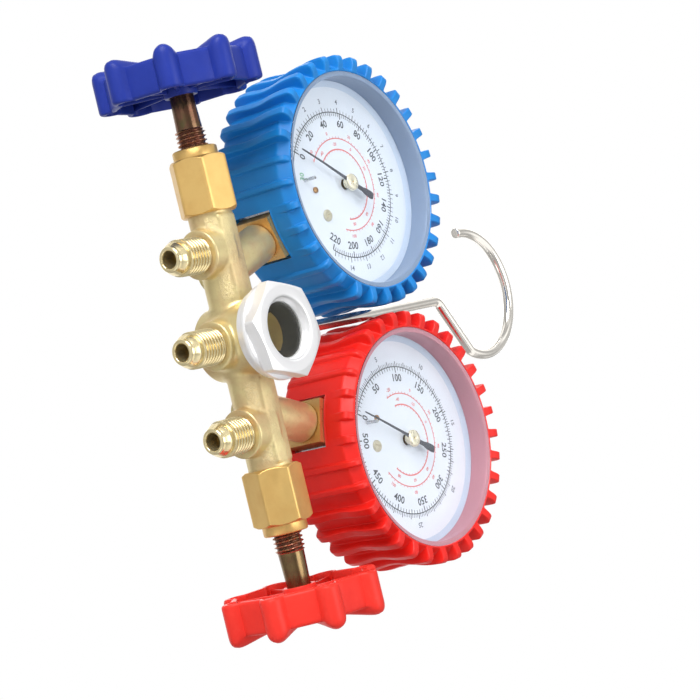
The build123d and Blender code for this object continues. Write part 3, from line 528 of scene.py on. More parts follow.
def net(field, low, high, step):
    """Surface net: one point per mixed cell at the mean of its edge crossings, one quad per
    crossed edge between the four cells round it, then two Newton steps onto the surface."""
    axes = [np.arange(l, h + step, step) for l, h in zip(low, high)]
    f = field(np.meshgrid(*axes, indexing="ij"))
    cells = tuple(n - 1 for n in f.shape)
    total, count = np.zeros(cells + (3,)), np.zeros(cells)
    for axis in range(3):
        _, hit, t = crossings(f, axis)
        grid = np.meshgrid(*[np.arange(n) for n in hit.shape], indexing="ij")
        spot = np.stack(grid, -1).astype(float)
        spot[..., axis] += t
        one, two = (axis + 1) % 3, (axis + 2) % 3
        for i in (0, 1):
            for j in (0, 1):
                part = [slice(None)] * 3
                part[one] = slice(i, cells[one] + i)
                part[two] = slice(j, cells[two] + j)
                seen = hit[tuple(part)]
                total += np.where(seen[..., None], spot[tuple(part)], 0)
                count += seen
    mixed = count > 0
    number = np.full(cells, -1)
    number[mixed] = np.arange(mixed.sum())
    points = total[mixed] / count[mixed][:, None] * step + np.array(low)
    faces = []
    for axis in range(3):
        a, hit, _ = crossings(f, axis)
        one, two = (axis + 1) % 3, (axis + 2) % 3
        where = np.argwhere(hit)
        where = where[(where[:, one] > 0) & (where[:, one] < cells[one])
                      & (where[:, two] > 0) & (where[:, two] < cells[two])]
        corners = []
        for i, j in ((1, 1), (0, 1), (0, 0), (1, 0)):
            cell = where.copy()
            cell[:, one] -= i
            cell[:, two] -= j
            corners.append(number[tuple(cell.T)])
        quad = np.stack(corners, -1)
        turn = a[tuple(where.T)] > 0
        quad[turn] = quad[turn][:, ::-1]
        faces.append(quad)
    for _ in range(2):
        value = field(list(points.T))
        slope = np.stack([field(list((points + d).T)) - field(list((points - d).T))
                          for d in np.eye(3) * 0.02], -1) / 0.04
        points = points - slope * np.clip(value / np.maximum((slope ** 2).sum(-1), 0.2),
                                          -0.3 * step, 0.3 * step)[:, None]
    return points, np.concatenate(faces)


def window(value, low, high, ease):
    """1 inside a range and 0 outside it, changing over a short width at both ends."""
    return np.clip((value - low) / ease, 0, 1) * np.clip((high - value) / ease, 0, 1)


NET_STEP = 0.38
points, faces = net(forging, (-41, -14.2, -14.2), (41, 11.0, 27.5), NET_STEP)
run_turn = np.degrees(np.arctan2(-points[:, 1], -points[:, 2]))
from_x = np.abs(points[:, 0])
panel = (window(run_turn, 18, 58, 6) * window(from_x, 12, 37.5, 1.5)
         * (np.hypot(points[:, 1], points[:, 2]) < 7.4))
strip_face = 0.45 * (run_turn > 60) * (run_turn < 120) * (from_x > 12) * (from_x < 37.5)
make("forged_body", (points, faces), BODY, "manifold", forged_brass,
     ["manifold_body"], sharp=0, weld=False, shades=np.maximum(panel, strip_face))

# %% [markdown]
# ## Hose ports
# A flare port is turned: a coned nose with a bore, a groove behind it, then a 7/16-20 thread up
# to the collar. One grid does it all. Its rows follow the turned profile, and in the threaded
# stretch each point's radius also drops with the phase of the helix, which is its distance over
# the pitch less its angle over a turn.

# %% Threads
ROOT, CREST, RUN_OUT = 0.2, 0.94, 0.5      # of the triangle wave, and millimetres of fading


def ridge(phase):
    """1 on a thread's crest and 0 in its root: a triangle wave cut flat at its root and crest,
    with both turns eased."""
    saw = np.abs((phase % 1.0) - 0.5) * 2
    t = np.clip((saw - ROOT) / (CREST - ROOT), 0, 1)
    return 0.5 * t + 0.5 * t * t * (3 - 2 * t)


def threaded(profile, start, stop, pitch, depth, count):
    """A turned grid whose radius is less by depth times one minus the ridge, between start and
    stop along the axis, fading in and out over a short length. Gives the depths as shades."""
    r, h = np.asarray(profile, float).T[..., None]
    a = ring_angles(count)
    hold = window(h, start, stop, RUN_OUT)
    radius = r - depth * hold * (1 - ridge(h / pitch - a / (2 * np.pi)))
    # the depths also go out as shades, by which the finish paints shade into the thread roots
    return revolved(radius, h, a), quads(len(r), count), ((r - radius) / depth).ravel()


def stretch(r, low, high, step):
    """Rows of one radius from one height to another."""
    heights = np.linspace(low, high, int(math.ceil(abs(high - low) / step)) + 1)
    return [(r, v) for v in heights]


# the nose from its groove to the bottom of its bore: radius, distance back from the tip
NOSE = [(4.95, 3.5), (4.95, 2.55), (4.85, 2.3), (4.15, 1.1), (4.05, 0.95), (3.95, 0.55),
        (3.72, 0.2), (3.35, 0.0), (2.95, 0.0), (2.74, 0.12), (2.64, 0.35), (2.6, 1.0),
        (2.6, 8.0), (2.6, 14.0), (0.0, 14.0)]
for label, (x, tip, collar) in PORTS.items():
    profile = [(0.0, collar - 1.5), (6.0, collar - 1.5)]
    profile += stretch(5.2, collar - 0.2, collar + 0.25, 0.15)
    profile += stretch(5.54, collar + 0.35, tip - 4.15, 0.085)
    profile += [(5.3, tip - 4.1), (4.75, tip - 4.0), (4.75, tip - 3.75)]
    profile += [(r, tip - d) for r, d in NOSE]
    # the depths give the thread roots their painted shade in the finish
    *shell, depths = threaded(profile, collar + 0.3, tip - 4.1, 1.27, 0.74, 240)
    make(f"port_{label}", shell, port_frame(x), "manifold", port_brass,
         sharp=50, weld=False, shades=depths)

# %% [markdown]
# ## Hexagons
# Bonnets and nuts are hexagonal bar with cones turned on their ends. The radius at any angle and
# height is the lower of the hexagon's and the cone's, and that minimum draws the curved line
# where a turned chamfer meets a flat.

# %% Bonnets and sight-glass nut
def hexagon(angle, flats, corner):
    """Radius of a hexagon at an angle: half the flats over the cosine from the nearest flat."""
    off = (angle - corner) % (np.pi / 3) - np.pi / 6
    return flats / 2 / np.cos(off)


HEX_COUNT = 480
CORNER_BLEND, CHAMFER_BLEND = 0.35, 0.3


def hex_turned(rows, flats, corner, blunt, looped=False):
    """Rows of (radius, height, is_hex): the smooth lower of the row's radius and the hexagon,
    whose own corners are rounded off before they reach past blunt."""
    r, h, is_hex = np.asarray(rows, float).T[..., None]
    a = ring_angles(HEX_COUNT)
    sides = melt(hexagon(a, flats, math.radians(corner)), blunt, CORNER_BLEND)
    radius = np.where(is_hex > 0, melt(r, sides, CHAMFER_BLEND), r)
    return revolved(radius, h, a), quads(len(rows), HEX_COUNT, looped=looped)


def tapered(a, b, count):
    """Evenly spaced hexagon rows between two (radius, height) pairs."""
    t = np.linspace(0, 1, count)
    return [(a[0] + (b[0] - a[0]) * k, a[1] + (b[1] - a[1]) * k, 1) for k in t]


def round_rows(*pairs):
    """Rows of (radius, height) that stay round."""
    return [(r, h, 0) for r, h in pairs]


def hex_rows(*pairs):
    """Rows of (radius, height) that the hexagon cuts."""
    return [(r, h, 1) for r, h in pairs]


BONNET_CORNER = {"low": 40.9, "high": 17.1}
BONNET = (round_rows((0, 40.5), (6.1, 40.5), (6.1, 38.7), (7.3, 38.62))
          + tapered((7.9, 38.62), (9.5, 39.7), 18)
          + hex_rows((9.6, 41.0), (9.6, 47.0), (9.6, 53.0))
          + tapered((9.5, 54.5), (7.9, 55.6), 18)
          + round_rows((7.4, 55.6), (6.75, 55.62), (6.75, 55.8), (6.75, 58.2), (6.45, 58.55),
                       (5.6, 58.6), (4.9, 58.45), (4.62, 58.1), (4.62, 52.0), (0, 52.0)))
for name, side in SIDES.items():
    make(f"bonnet_shell_{name}", hex_turned(BONNET, 16.0, side * BONNET_CORNER[name], 9.12),
         run_frame(side), "manifold", bonnet_brass, [f"bonnet_{name}"], sharp=55)

# inner edge and dished face, hexagon, then the washer and the thread behind it
NUT = (round_rows((8.3, 14.6), (8.3, 16.9), (8.4, 17.25), (8.6, 17.5), (8.95, 17.8), (9.2, 18.1),
                  (9.4, 18.5), (9.5, 18.9), (9.6, 19.2), (9.8, 19.42), (10.1, 19.5),
                  (11.2, 19.5), (12.4, 19.5))
       + tapered((12.8, 19.48), (16.5, 18.2), 48)
       + hex_rows((16.7, 17.4), (16.7, 16.2), (16.4, 15.6))
       + tapered((16.0, 15.45), (14.2, 15.1), 12)
       + round_rows((13.7, 15.0), (13.9, 14.85), (14.3, 14.7), (14.45, 14.45), (14.45, 13.3),
                    (14.3, 13.0), (13.9, 12.85), (13.4, 12.8), (13.4, 10.8), (13.2, 10.5),
                    (10.3, 10.45), (10.3, 14.5)))
make("sight_nut", hex_turned(NUT, 26.6, 15.0, 15.35, looped=True), FRONT, "manifold", nut_white,
     ["sight_glass_nut"], sharp=50)
LINER = [(8.22, 16.1), (8.0, 16.15), (7.85, 15.9), (7.8, 14.0), (7.75, 11.5), (7.8, 9.6),
         (8.22, 9.5)]
make("glass_seal", turned(LINER, looped=True), FRONT, "manifold", seal_black,
     ["sight_glass_seal"], sharp=40)
GLASS = [(0, 17.25), (4.0, 17.22), (7.0, 17.12), (7.9, 16.95), (8.22, 16.7), (8.22, 16.2),
         (0, 16.15)]
make("port_window", turned(GLASS), FRONT, "manifold", sight_clear,
     ["sight_glass"], sharp=50)

# %% [markdown]
# ## Valve spindles
# A spindle is a threaded bar that narrows to a plain shank and disappears into its wheel. It is
# the same threaded grid as the ports, with another pitch.

# %% Spindles
THREAD = ([(0, 53.0), (4.2, 53.0)] + stretch(4.57, 53.4, 64.0, 0.1)
          + [(4.15, 64.2), (3.95, 64.4)])
SHOULDER = [(3.95, 64.4), (0, 64.45)]
PLAIN_SHANK = [(0, 63.8), (3.7, 63.9), (3.92, 64.2), (3.95, 64.5), (3.9, 66.0), (3.8, 69.0),
               (3.7, 72.0), (3.66, 74.0), (3.66, 76.0), (0, 76.0)]
for name, side in SIDES.items():
    *shell, depths = threaded(THREAD, 53.4, 64.3, 1.3, 0.75, 160)
    shoulder = turned(SHOULDER, 160)
    # the depths give the thread roots their painted shade in the finish
    make(f"spindle_thread_{name}", joined(shell, shoulder, outwards=False), run_frame(side),
         f"spindle_{name}", thread_steel, [f"spindle_{name}"], sharp=50,
         weld=False, shades=np.concatenate([depths, np.zeros(len(shoulder[0]))]))
    make(f"spindle_shank_{name}", turned(PLAIN_SHANK, 72), run_frame(side), f"spindle_{name}",
         SHANK[name], sharp=40)

# %% [markdown]
# ## Handwheels
# A wheel has eight lobes. Its outline is a radius that depends on the angle, the smooth maximum
# of a disc and a small circle out at each lobe. Rows run from the hub through the hollow side,
# over the rim and back across the outer face, where humps rise on the lobes and taper inwards.

# %% Lobed wheels
LOBES, LOBE_AT, LOBE_R = 8, 21.5, 3.55


def rim_radius(off):
    """Smooth maximum of the disc and a lobe's circle, by the angle from the lobe's middle."""
    across = LOBE_AT * np.sin(off)
    lobe = LOBE_AT * np.cos(off) + np.sqrt(np.maximum(LOBE_R ** 2 - across ** 2, 0))
    return -melt(-lobe, -(LOBE_AT - 0.45 + 0 * off), 1.4)


def hump(radius, off):
    """Height of a lobe's ridge: a bump across times a slope that peaks near the tip."""
    across = np.clip(1 - (radius * np.sin(off) / 3.3) ** 2, 0, 1) ** 0.75
    along = np.interp(radius, [4.6, 9.0, 19.8, 21.4, 22.6, 24.0, 24.7, 25.1],
                      [0, 0.13, 0.9, 1.0, 1.0, 0.84, 0.66, 0.45])
    return 2.97 * across * along


# the hollow side: share of the way to the rim, radius at the hub, height above the inner face
WHEEL_ROWS = [(0, 3.75, 4.0), (0, 3.75, 0.5), (0, 3.9, 0.3), (0, 4.7, 0.22), (0, 4.95, 0.32),
              (0, 5.08, 0.6), (0, 5.2, 3.0), (0, 5.6, 7.7), (0, 6.2, 8.1), (0.1, 7.0, 8.2),
              (0.5, 8.3, 8.2), (0.85, 8.3, 8.2), (0.97, 8.3, 8.15)]
# over the rim, then onto the outer face, where humps rise: inset from the rim, height
RIM_ROWS = [(2.0, 7.8), (2.0, 4.0), (2.0, 0.5), (1.9, 0.2), (1.6, 0.03), (1.2, 0.0), (0.8, 0.05),
            (0.4, 0.22), (0.12, 0.55), (0.0, 1.0), (0.0, 3.5), (0.0, 6.5)]
EDGE_ROWS = [(0.0, 8.6), (0.05, 9.3), (0.2, 9.8), (0.5, 10.1), (1.0, 10.2), (1.6, 10.2),
             (2.3, 10.2), (3.2, 10.2), (4.4, 10.2), (6.0, 10.2)]
HUB_ROWS = [(4.75, 10.2), (4.55, 10.05), (4.5, 9.8), (4.5, 8.62), (0, 8.62)]
LIFT_FROM, LIFT_OVER, FACE = 6.5, 3.7, 10.2      # where humps begin, grow, and the outer face
LOBE_STEPS = np.array([-22.5, -19, -16, -14, -12.5, -11.5, -10.8, -10.0, -9.0, -8.0, -6.5, -5.0,
                       -3.3, -1.6, 0, 1.6, 3.3, 5.0, 6.5, 8.0, 9.0, 10.0, 10.8, 11.5, 12.5, 14,
                       16, 19])                  # degrees from a lobe's middle
LOBE_TURN = 360 / LOBES


def wheel(phase):
    """Rows of a wheel from its bore to the middle of its outer face."""
    turn = np.radians((LOBE_STEPS + LOBE_TURN * np.arange(LOBES)[:, None]).ravel())
    off = np.radians(np.tile(LOBE_STEPS, LOBES))
    rim = rim_radius(off)
    rows = [(0, 4.0)]
    rows += [((1 - share) * hub + share * (rim - 2.0), h) for share, hub, h in WHEEL_ROWS]
    rows += [(rim - inset, h) for inset, h in RIM_ROWS]
    rows += [(rim - inset, h + hump(rim - inset, off) * np.clip((h - LIFT_FROM) / LIFT_OVER, 0, 1))
             for inset, h in EDGE_ROWS]
    for share in (0.85, 0.65, 0.45, 0.3, 0.15, 0.05):
        r = 5.2 + share * (rim - 6.0 - 5.2)
        rows.append((r, FACE + hump(r, off)))
    rows += HUB_ROWS
    radius, height = (np.array([row[k] + 0 * off for row in rows]) for k in (0, 1))
    return revolved(radius, height, turn + math.radians(phase)), quads(len(rows), len(turn))


def rounded_bar(centre, along, across, half, edge):
    """A closed bar: rounded-rectangle rings along its length, drawn in at both ends."""
    a = ring_angles(24)
    box = np.stack([np.sign(np.cos(a)) * np.abs(np.cos(a)) ** 0.35,
                    np.sign(np.sin(a)) * np.abs(np.sin(a)) ** 0.35], -1)
    t = np.array([-1, -1, -1 + edge / half[0], 0, 1 - edge / half[0], 1, 1])
    size = np.array([0, 0.8, 1, 1, 1, 0.8, 0])
    rings = (t[:, None, None] * half[0] * np.array(along)
             + size[:, None, None] * (box[None, :, :1] * half[1] * np.array(across)
                                      + box[None, :, 1:] * half[2] * np.array([0, 0, 1])))
    return (rings + np.array(centre)).reshape(-1, 3), quads(len(t), len(a))


PHASE = {"low": 13.7, "high": 25.8}
WEB_AT, WEB_HALF = (14.15, 5.0), (9.15, 0.6, 3.5)
INNER_FACE = 74.3                # how far along the run a wheel begins
for name, side in SIDES.items():
    first_lobe = side * PHASE[name] + 3.3
    shells = [wheel(first_lobe)]
    for k in range(LOBES):
        a = math.radians(first_lobe + LOBE_TURN * k)
        along, across = (math.cos(a), math.sin(a), 0), (-math.sin(a), math.cos(a), 0)
        middle = (WEB_AT[0] * along[0], WEB_AT[0] * along[1], WEB_AT[1])
        shells.append(rounded_bar(middle, along, across, WEB_HALF, 0.3))
    points, faces = joined(*shells)
    make(f"lobed_wheel_{name}", (points + [0, 0, INNER_FACE], faces), run_frame(side),
         f"spindle_{name}", WHEEL[name], [f"handwheel_{name}"],
         sharp=50)

# %% [markdown]
# ## Hanging hook
# One nickel-plated wire: a shaft out of the body, a slanted knee, and an open loop. Its line is
# made of straight runs and arcs; a ring of points is carried along it, and the ring shrinks over
# the last stretch so that the tip is round.

# %% Hook wire
def rounded_corner(before, corner, after, radius, count):
    """Points of the arc that touches both runs, by turning from one tangent to the other."""
    u = (before - corner) / np.linalg.norm(before - corner)
    v = (after - corner) / np.linalg.norm(after - corner)
    half = math.acos(np.clip(u @ v, -1, 1)) / 2
    centre = corner + (u + v) / np.linalg.norm(u + v) * radius / math.sin(half)
    a = corner + u * radius / math.tan(half) - centre
    b = corner + v * radius / math.tan(half) - centre
    sweep = math.pi - 2 * half
    t = np.linspace(0, 1, count)[:, None]
    return centre + (np.sin((1 - t) * sweep) * a + np.sin(t * sweep) * b) / math.sin(sweep)


def hook_line():
    """Shaft, knee, slant, shoulder and loop in the plane of the wire, as (x, z)."""
    loop, low, join = 21.6, -20.1, math.radians(-27)
    knee = np.array([0, -42.8])
    shoulder = np.array([loop * math.cos(join), low + loop * math.sin(join)])
    foot, onward = np.array([0, -150.0]), shoulder + 6 * np.array([-math.sin(join), math.cos(join)])
    shaft = np.stack([np.zeros(24), np.linspace(-150.0, -45.5, 24)], -1)
    a = np.linspace(join + 0.045, math.radians(184), 96)
    ring = np.stack([loop * np.cos(a), low + loop * np.sin(a)], -1)
    return np.concatenate([shaft, rounded_corner(foot, knee, shoulder, 4.0, 14),
                           rounded_corner(knee, shoulder, onward, 3.0, 8), ring])


WIRE_COUNT = 28


def wire(line, radius):
    """Rings round a planar line; the last ones close in a flat end with a rounded edge."""
    slope = np.gradient(line, axis=0)
    slope /= np.linalg.norm(slope, axis=1)[:, None]
    onwards, shrink = np.array([(0.2, 0.98), (0.4, 0.9), (0.5, 0.75), (0.5, 0.4), (0.5, 0.0)]).T
    end = line[-1] + np.outer(onwards, slope[-1])
    size = np.concatenate([[0], np.full(len(line), radius), shrink * radius])
    line = np.concatenate([line[:1], line, end])
    slope = np.concatenate([slope[:1], slope, np.repeat(slope[-1:], len(end), 0)])
    a = ring_angles(WIRE_COUNT)[None, :, None]
    side = np.stack([slope[:, 1], 0 * slope[:, 0], -slope[:, 0]], -1)[:, None]
    spine = np.stack([line[:, 0], 0 * line[:, 0], line[:, 1]], -1)[:, None]
    rings = spine + size[:, None, None] * (np.cos(a) * side + np.sin(a) * np.array([0, 1, 0]))
    return rings.reshape(-1, 3), quads(len(line), WIRE_COUNT)


make("hook_wire", wire(hook_line(), 1.8), HERE, "hook", hook_nickel, ["hang_hook"],
     sharp=0)

# %% [markdown]
# ## Ribbed rubber boots
# A boot is a cup of moulded rubber with thirty-two ribs that turn over its front edge as spurs.
# Modelling ribs one by one would leave seams. Here the boot is a single grid: along each row of
# angles the surface lies between two side profiles, the plain cup and the rib, and a soft
# window across each rib says how far it has gone from one to the other.

# %% Boot surface
CUP = np.array([(26.0, -27.8), (31.0, -27.8), (36.0, -27.8), (37.2, -27.5), (38.0, -26.6),
                (38.2, -25.0), (38.2, -22.0), (38.2, -19.5), (38.2, -17.0), (38.2, -14.5),
                (38.2, -12.0), (38.2, -10.2), (38.2, -8.0), (38.2, -6.0), (38.2, -4.6),
                (38.15, -3.9), (37.9, -3.3), (37.3, -2.5), (36.7, -1.6), (36.2, -0.85),
                (35.85, -0.35), (35.55, -0.1), (35.25, -0.03), (35.1, -0.2)])
VALLEY = CUP - np.array([(0, 0), (0, 0), (0.9, 0), (1.1, 0), (1.3, 0), (1.3, 0)] + [(1.1, 0)] * 4
                        + [(1.0, 0), (0.9, 0), (0.8, 0), (0.7, 0), (0.6, 0), (0.55, 0), (0.5, 0),
                           (0.4, 0), (0.3, 0), (0.2, 0), (0.1, 0), (0, 0), (0, 0), (0, 0)])
TALL = np.array([(26.0, -27.8), (31.0, -27.8), (36.4, -27.8), (38.4, -27.5), (39.5, -26.5),
                 (39.8, -25.0), (39.9, -22.4), (39.6, -19.8), (39.2, -17.2), (39.1, -14.5),
                 (39.35, -12.0), (39.75, -10.0), (40.15, -7.8), (40.4, -5.6), (40.5, -3.6),
                 (40.5, -1.8), (40.4, -0.5), (39.9, 0.25), (38.9, 0.62), (37.7, 0.55),
                 (36.7, 0.3), (35.9, 0.05), (35.3, -0.03), (35.1, -0.2)])
OVER_EDGE = [(0.7, 1.3), (0.45, 0.8), (0.25, 0.4)] + [(0, 0)] * 3
LOW = CUP + np.array([(0, 0)] * 4 + [(0.6, 0)] + [(0.95, 0)] * 10
                     + [(0.95, 0.5), (0.9, 1.2), (0.9, 1.6)] + OVER_EDGE)
SHORT = CUP + np.array([(0, 0)] * 13 + [(0.1, 0), (0.3, 0.2), (0.6, 0.9), (0.8, 1.5), (0.9, 1.6)]
                       + OVER_EDGE)


def resampled(profile):
    """A profile with twice the rows: each piece between two points is halved."""
    t = np.arange(0, (len(profile) - 1) * 2 + 1) / 2
    k = np.arange(len(profile))
    return np.stack([np.interp(t, k, profile[:, i]) for i in (0, 1)], -1)


def eased(profile):
    """The same rows, each moved half way to the mean of its neighbours, ends kept."""
    middle = (profile[:-2] + profile[2:]) / 2
    return np.concatenate([profile[:1], (profile[1:-1] + middle) / 2, profile[-1:]])


# millimetres across a rib at the cup's own radius
RIB_STEPS = np.array([-3.74, -2.9, -2.3, -1.85, -1.62, -1.5, -1.4, -1.3, -1.2, -1.05, -0.8,
                      -0.4, 0.0, 0.4, 0.8, 1.05, 1.2, 1.3, 1.4, 1.5, 1.62, 1.85, 2.3, 2.9])
RIBS, CUP_R, STEM_AT = 32, 38.2, 180


def boot():
    """Closed grid: outer rows along the blended profiles, then an inner wall back again, with
    the stem's window left out and its edges walled."""
    cup, valley, tall, low, short = (eased(resampled(p)) for p in (CUP, VALLEY, TALL, LOW, SHORT))
    rows = len(cup)
    offs = np.tile(RIB_STEPS, RIBS)
    rib_at = np.repeat(np.arange(RIBS) * 360 / RIBS, len(RIB_STEPS))
    turns = rib_at + np.degrees(offs / CUP_R)
    from_stem = np.abs(rib_at - STEM_AT)
    wide = np.where(from_stem > 40, 1.62, np.where(from_stem > 20, 1.3, 1.5))
    across = np.clip((wide - np.abs(offs)) / 0.5, 0, 1)
    across = across * across * (3 - 2 * across)
    from_stem = from_stem[:, None, None]
    rib = np.where(from_stem > 40, tall, np.where(from_stem > 20, low, short))
    sunk = np.clip((np.abs(turns - STEM_AT) - 34) / 6, 0, 1)[:, None, None]
    floor_line = cup[None] + sunk * (valley - cup)[None]
    outer = floor_line + across[:, None, None] * (rib - floor_line)
    inner = np.stack([np.full(rows, 35.25), cup[:, 1]], -1)
    inner[:, 0] = np.minimum(inner[:, 0], valley[:, 0] - 0.3)
    inner[cup[:, 0] < 36.3, 1] = np.where(cup[cup[:, 0] < 36.3, 1] < -20, -26.35, -0.62)
    inner[-1] = (35.1, -0.55)
    both = np.concatenate([outer, np.broadcast_to(inner[::-1][None], (len(offs), rows, 2))], 1)
    a = np.radians(turns)[:, None]
    points = np.stack([both[..., 0] * np.sin(a), both[..., 0] * np.cos(a), both[..., 1]], -1)
    points = points.transpose(1, 0, 2)
    cols = len(offs)
    faces = quads(2 * rows, cols, looped=True).reshape(2 * rows, cols, 4)
    shades = np.concatenate([np.broadcast_to(across, (rows, cols)), np.zeros((rows, cols))])
    first = int(np.argmin(np.abs(cup[:, 1] + 25.0) + 99 * (cup[:, 0] < 38)))
    last = int(np.argmin(np.abs(cup[:, 1] + 10.2)))
    left = 15 * len(RIB_STEPS) + int(np.argmin(np.abs(RIB_STEPS + 0.8)))
    right = 17 * len(RIB_STEPS) + int(np.argmin(np.abs(RIB_STEPS - 0.8)))
    keep = np.ones((2 * rows, cols), bool)
    keep[first:last, left:right] = False
    keep[2 * rows - 1 - last:2 * rows - 1 - first, left:right] = False
    walls = []
    number = np.arange(2 * rows * cols).reshape(2 * rows, cols)
    back = 2 * rows - 1
    k = np.arange(first, last)
    for c, step in ((left, 1), (right, -1)):
        walls.append(np.stack([number[k, c], number[k + 1, c], number[back - 1 - k, c],
                               number[back - k, c]], -1)[:, ::step])
    c = np.arange(left, right)
    for k, step in ((first, -1), (last, 1)):
        walls.append(np.stack([number[k, c], number[k, c + 1], number[back - k, c + 1],
                               number[back - k, c]], -1)[:, ::step])
    return points.reshape(-1, 3), np.concatenate([faces[keep]] + walls), shades.ravel()


*boot_shell, boot_shades = boot()
for name, side in SIDES.items():
    make(f"ribbed_boot_{name}", boot_shell, gauge_frame(side), "manifold", BOOT[name],
         [f"boot_{name}"], sharp=0, weld=False, shades=boot_shades)

# %% [markdown]
# ## Dials
# Behind each lens a tinted ring leads down to an enamelled disc. The print on it is real
# geometry, a few hundredths of a millimetre above the enamel: rings, ticks and numbers. Every
# number keeps its feet towards the middle, except past the right-hand side, where the row turns
# over so that it can be read.

# %% Print helpers
DIAL = -8.0                      # height of the enamel behind the front of a gauge


def disc_point(radius, clockwise):
    """A point on the dial at an angle clockwise from straight up the stem."""
    a = np.radians(clockwise)
    return np.stack([radius * np.sin(a), radius * np.cos(a)], -1)


def raised(points, height):
    """Points of the plane lifted to one height."""
    return np.concatenate([points, np.full(points.shape[:-1] + (1,), height)], -1)


def strip(inner, outer, start, stop, height):
    """A flat arc between two radii, as a grid one cell wide."""
    count = max(2, int(abs(stop - start) / 1.5) + 1)
    a = np.linspace(start, stop, count)
    rows = np.stack([disc_point(inner, a), disc_point(outer, a)])
    return raised(rows, height).reshape(-1, 3), quads(2, count, around=False)


def ticks(angles, inner, outer, width, height):
    """Flat ticks, each a quad from one radius to another."""
    a = np.radians(np.asarray(angles, float))
    out = np.stack([np.sin(a), np.cos(a)], -1)
    side = np.stack([np.cos(a), -np.sin(a)], -1) * width / 2
    corner = [out * inner - side, out * inner + side, out * outer + side, out * outer - side]
    points = raised(np.stack(corner, 1).reshape(-1, 2), height)
    return points, np.arange(len(points)).reshape(-1, 4)


def printed(name, world, faces, ink):
    """A flat mesh of metres, as print that belongs to the dial."""
    mesh = bpy.data.meshes.new(name)
    mesh.from_pydata(world.tolist(), [], faces)
    mesh.materials.append(ink)
    placed(name, mesh, "manifold")


def print_on(name, shells, side, ink):
    """Makes flat print as one mesh that faces forwards."""
    points, faces = joined(*shells, outwards=False)
    where = gauge_frame(side)
    world = put(points, where) * MM
    a, b, c = (world[faces[:, k]] for k in range(3))
    turned_away = np.cross(b - a, c - a) @ where[1][2] < 0
    faces[turned_away] = faces[turned_away][:, ::-1]
    printed(name, world, faces.tolist(), ink)


def figures(name, words, size, side, ink, height):
    """Numbers as meshes: each word is centred, turned to its angle, and carried to its place."""
    every, loops, start = [], [], 0
    for word, radius, clockwise in words:
        curve = bpy.data.curves.new(name, "FONT")
        curve.body, curve.size, curve.offset = word, size, 0.02 * size
        curve.align_x, curve.align_y, curve.resolution_u = "CENTER", "CENTER", 2
        holder = bpy.data.objects.new(name, curve)
        bpy.context.scene.collection.objects.link(holder)
        bpy.context.view_layer.update()
        flat = bpy.data.meshes.new_from_object(holder)
        co = np.empty(len(flat.vertices) * 3)
        flat.vertices.foreach_get("co", co)
        turn = math.radians(clockwise - 180 if clockwise > 90 else clockwise)
        spin = np.array([[math.cos(turn), -math.sin(turn)], [math.sin(turn), math.cos(turn)]])
        co = co.reshape(-1, 3)[:, :2] * [1.02, 1.0] @ spin + disc_point(radius, clockwise)
        every.append(raised(co, height))
        loops += [[v + start for v in p.vertices] for p in flat.polygons]
        start += len(co)
        bpy.data.objects.remove(holder)
        bpy.data.curves.remove(curve)
        bpy.data.meshes.remove(flat)
    printed(name, put(np.concatenate(every), gauge_frame(side)) * MM, loops, ink)


# %% [markdown]
# ## Scales
# The low-side dial reads from 30 inches of vacuum, in green, to 220 psi, and the high-side one
# to 500 psi. Both have a second, smaller row of bar outside the ring, and two rose-coloured
# temperature arcs inside.

# %% Scales
# degrees: at nought, for one psi and for one bar; then psi: the top, and between ticks
SCALES = {"low": {"zero": -130.0, "per": 1.24, "bar": 17.98, "top": 220, "major": 20,
                  "minor": 4, "bars": range(1, 16)},
          "high": {"zero": -169.5, "per": 0.678, "bar": 9.83, "top": 500, "major": 50,
                   "minor": 10, "bars": range(5, 35, 5)}}
INNER_RING = [(35.08, -0.56), (34.2, -0.56), (33.6, -0.6), (33.45, -0.8), (33.4, -2.0),
              (33.4, -4.0), (33.4, -7.0), (33.4, -7.96), (33.88, -7.97), (33.88, -0.59),
              (35.08, -0.59)]
BORDER = [(33.4, -7.3), (33.0, -7.38), (32.2, -7.7), (31.7, -7.9), (31.5, -7.98),
          (33.4, -7.985)]
LENS = [(0, -0.08), (20, -0.08), (34.7, -0.08), (34.95, -0.13), (35.04, -0.25),
        (35.04, -0.48), (0, -0.5)]
PRINT = DIAL + 0.03
VACUUM_FROM = -151.0
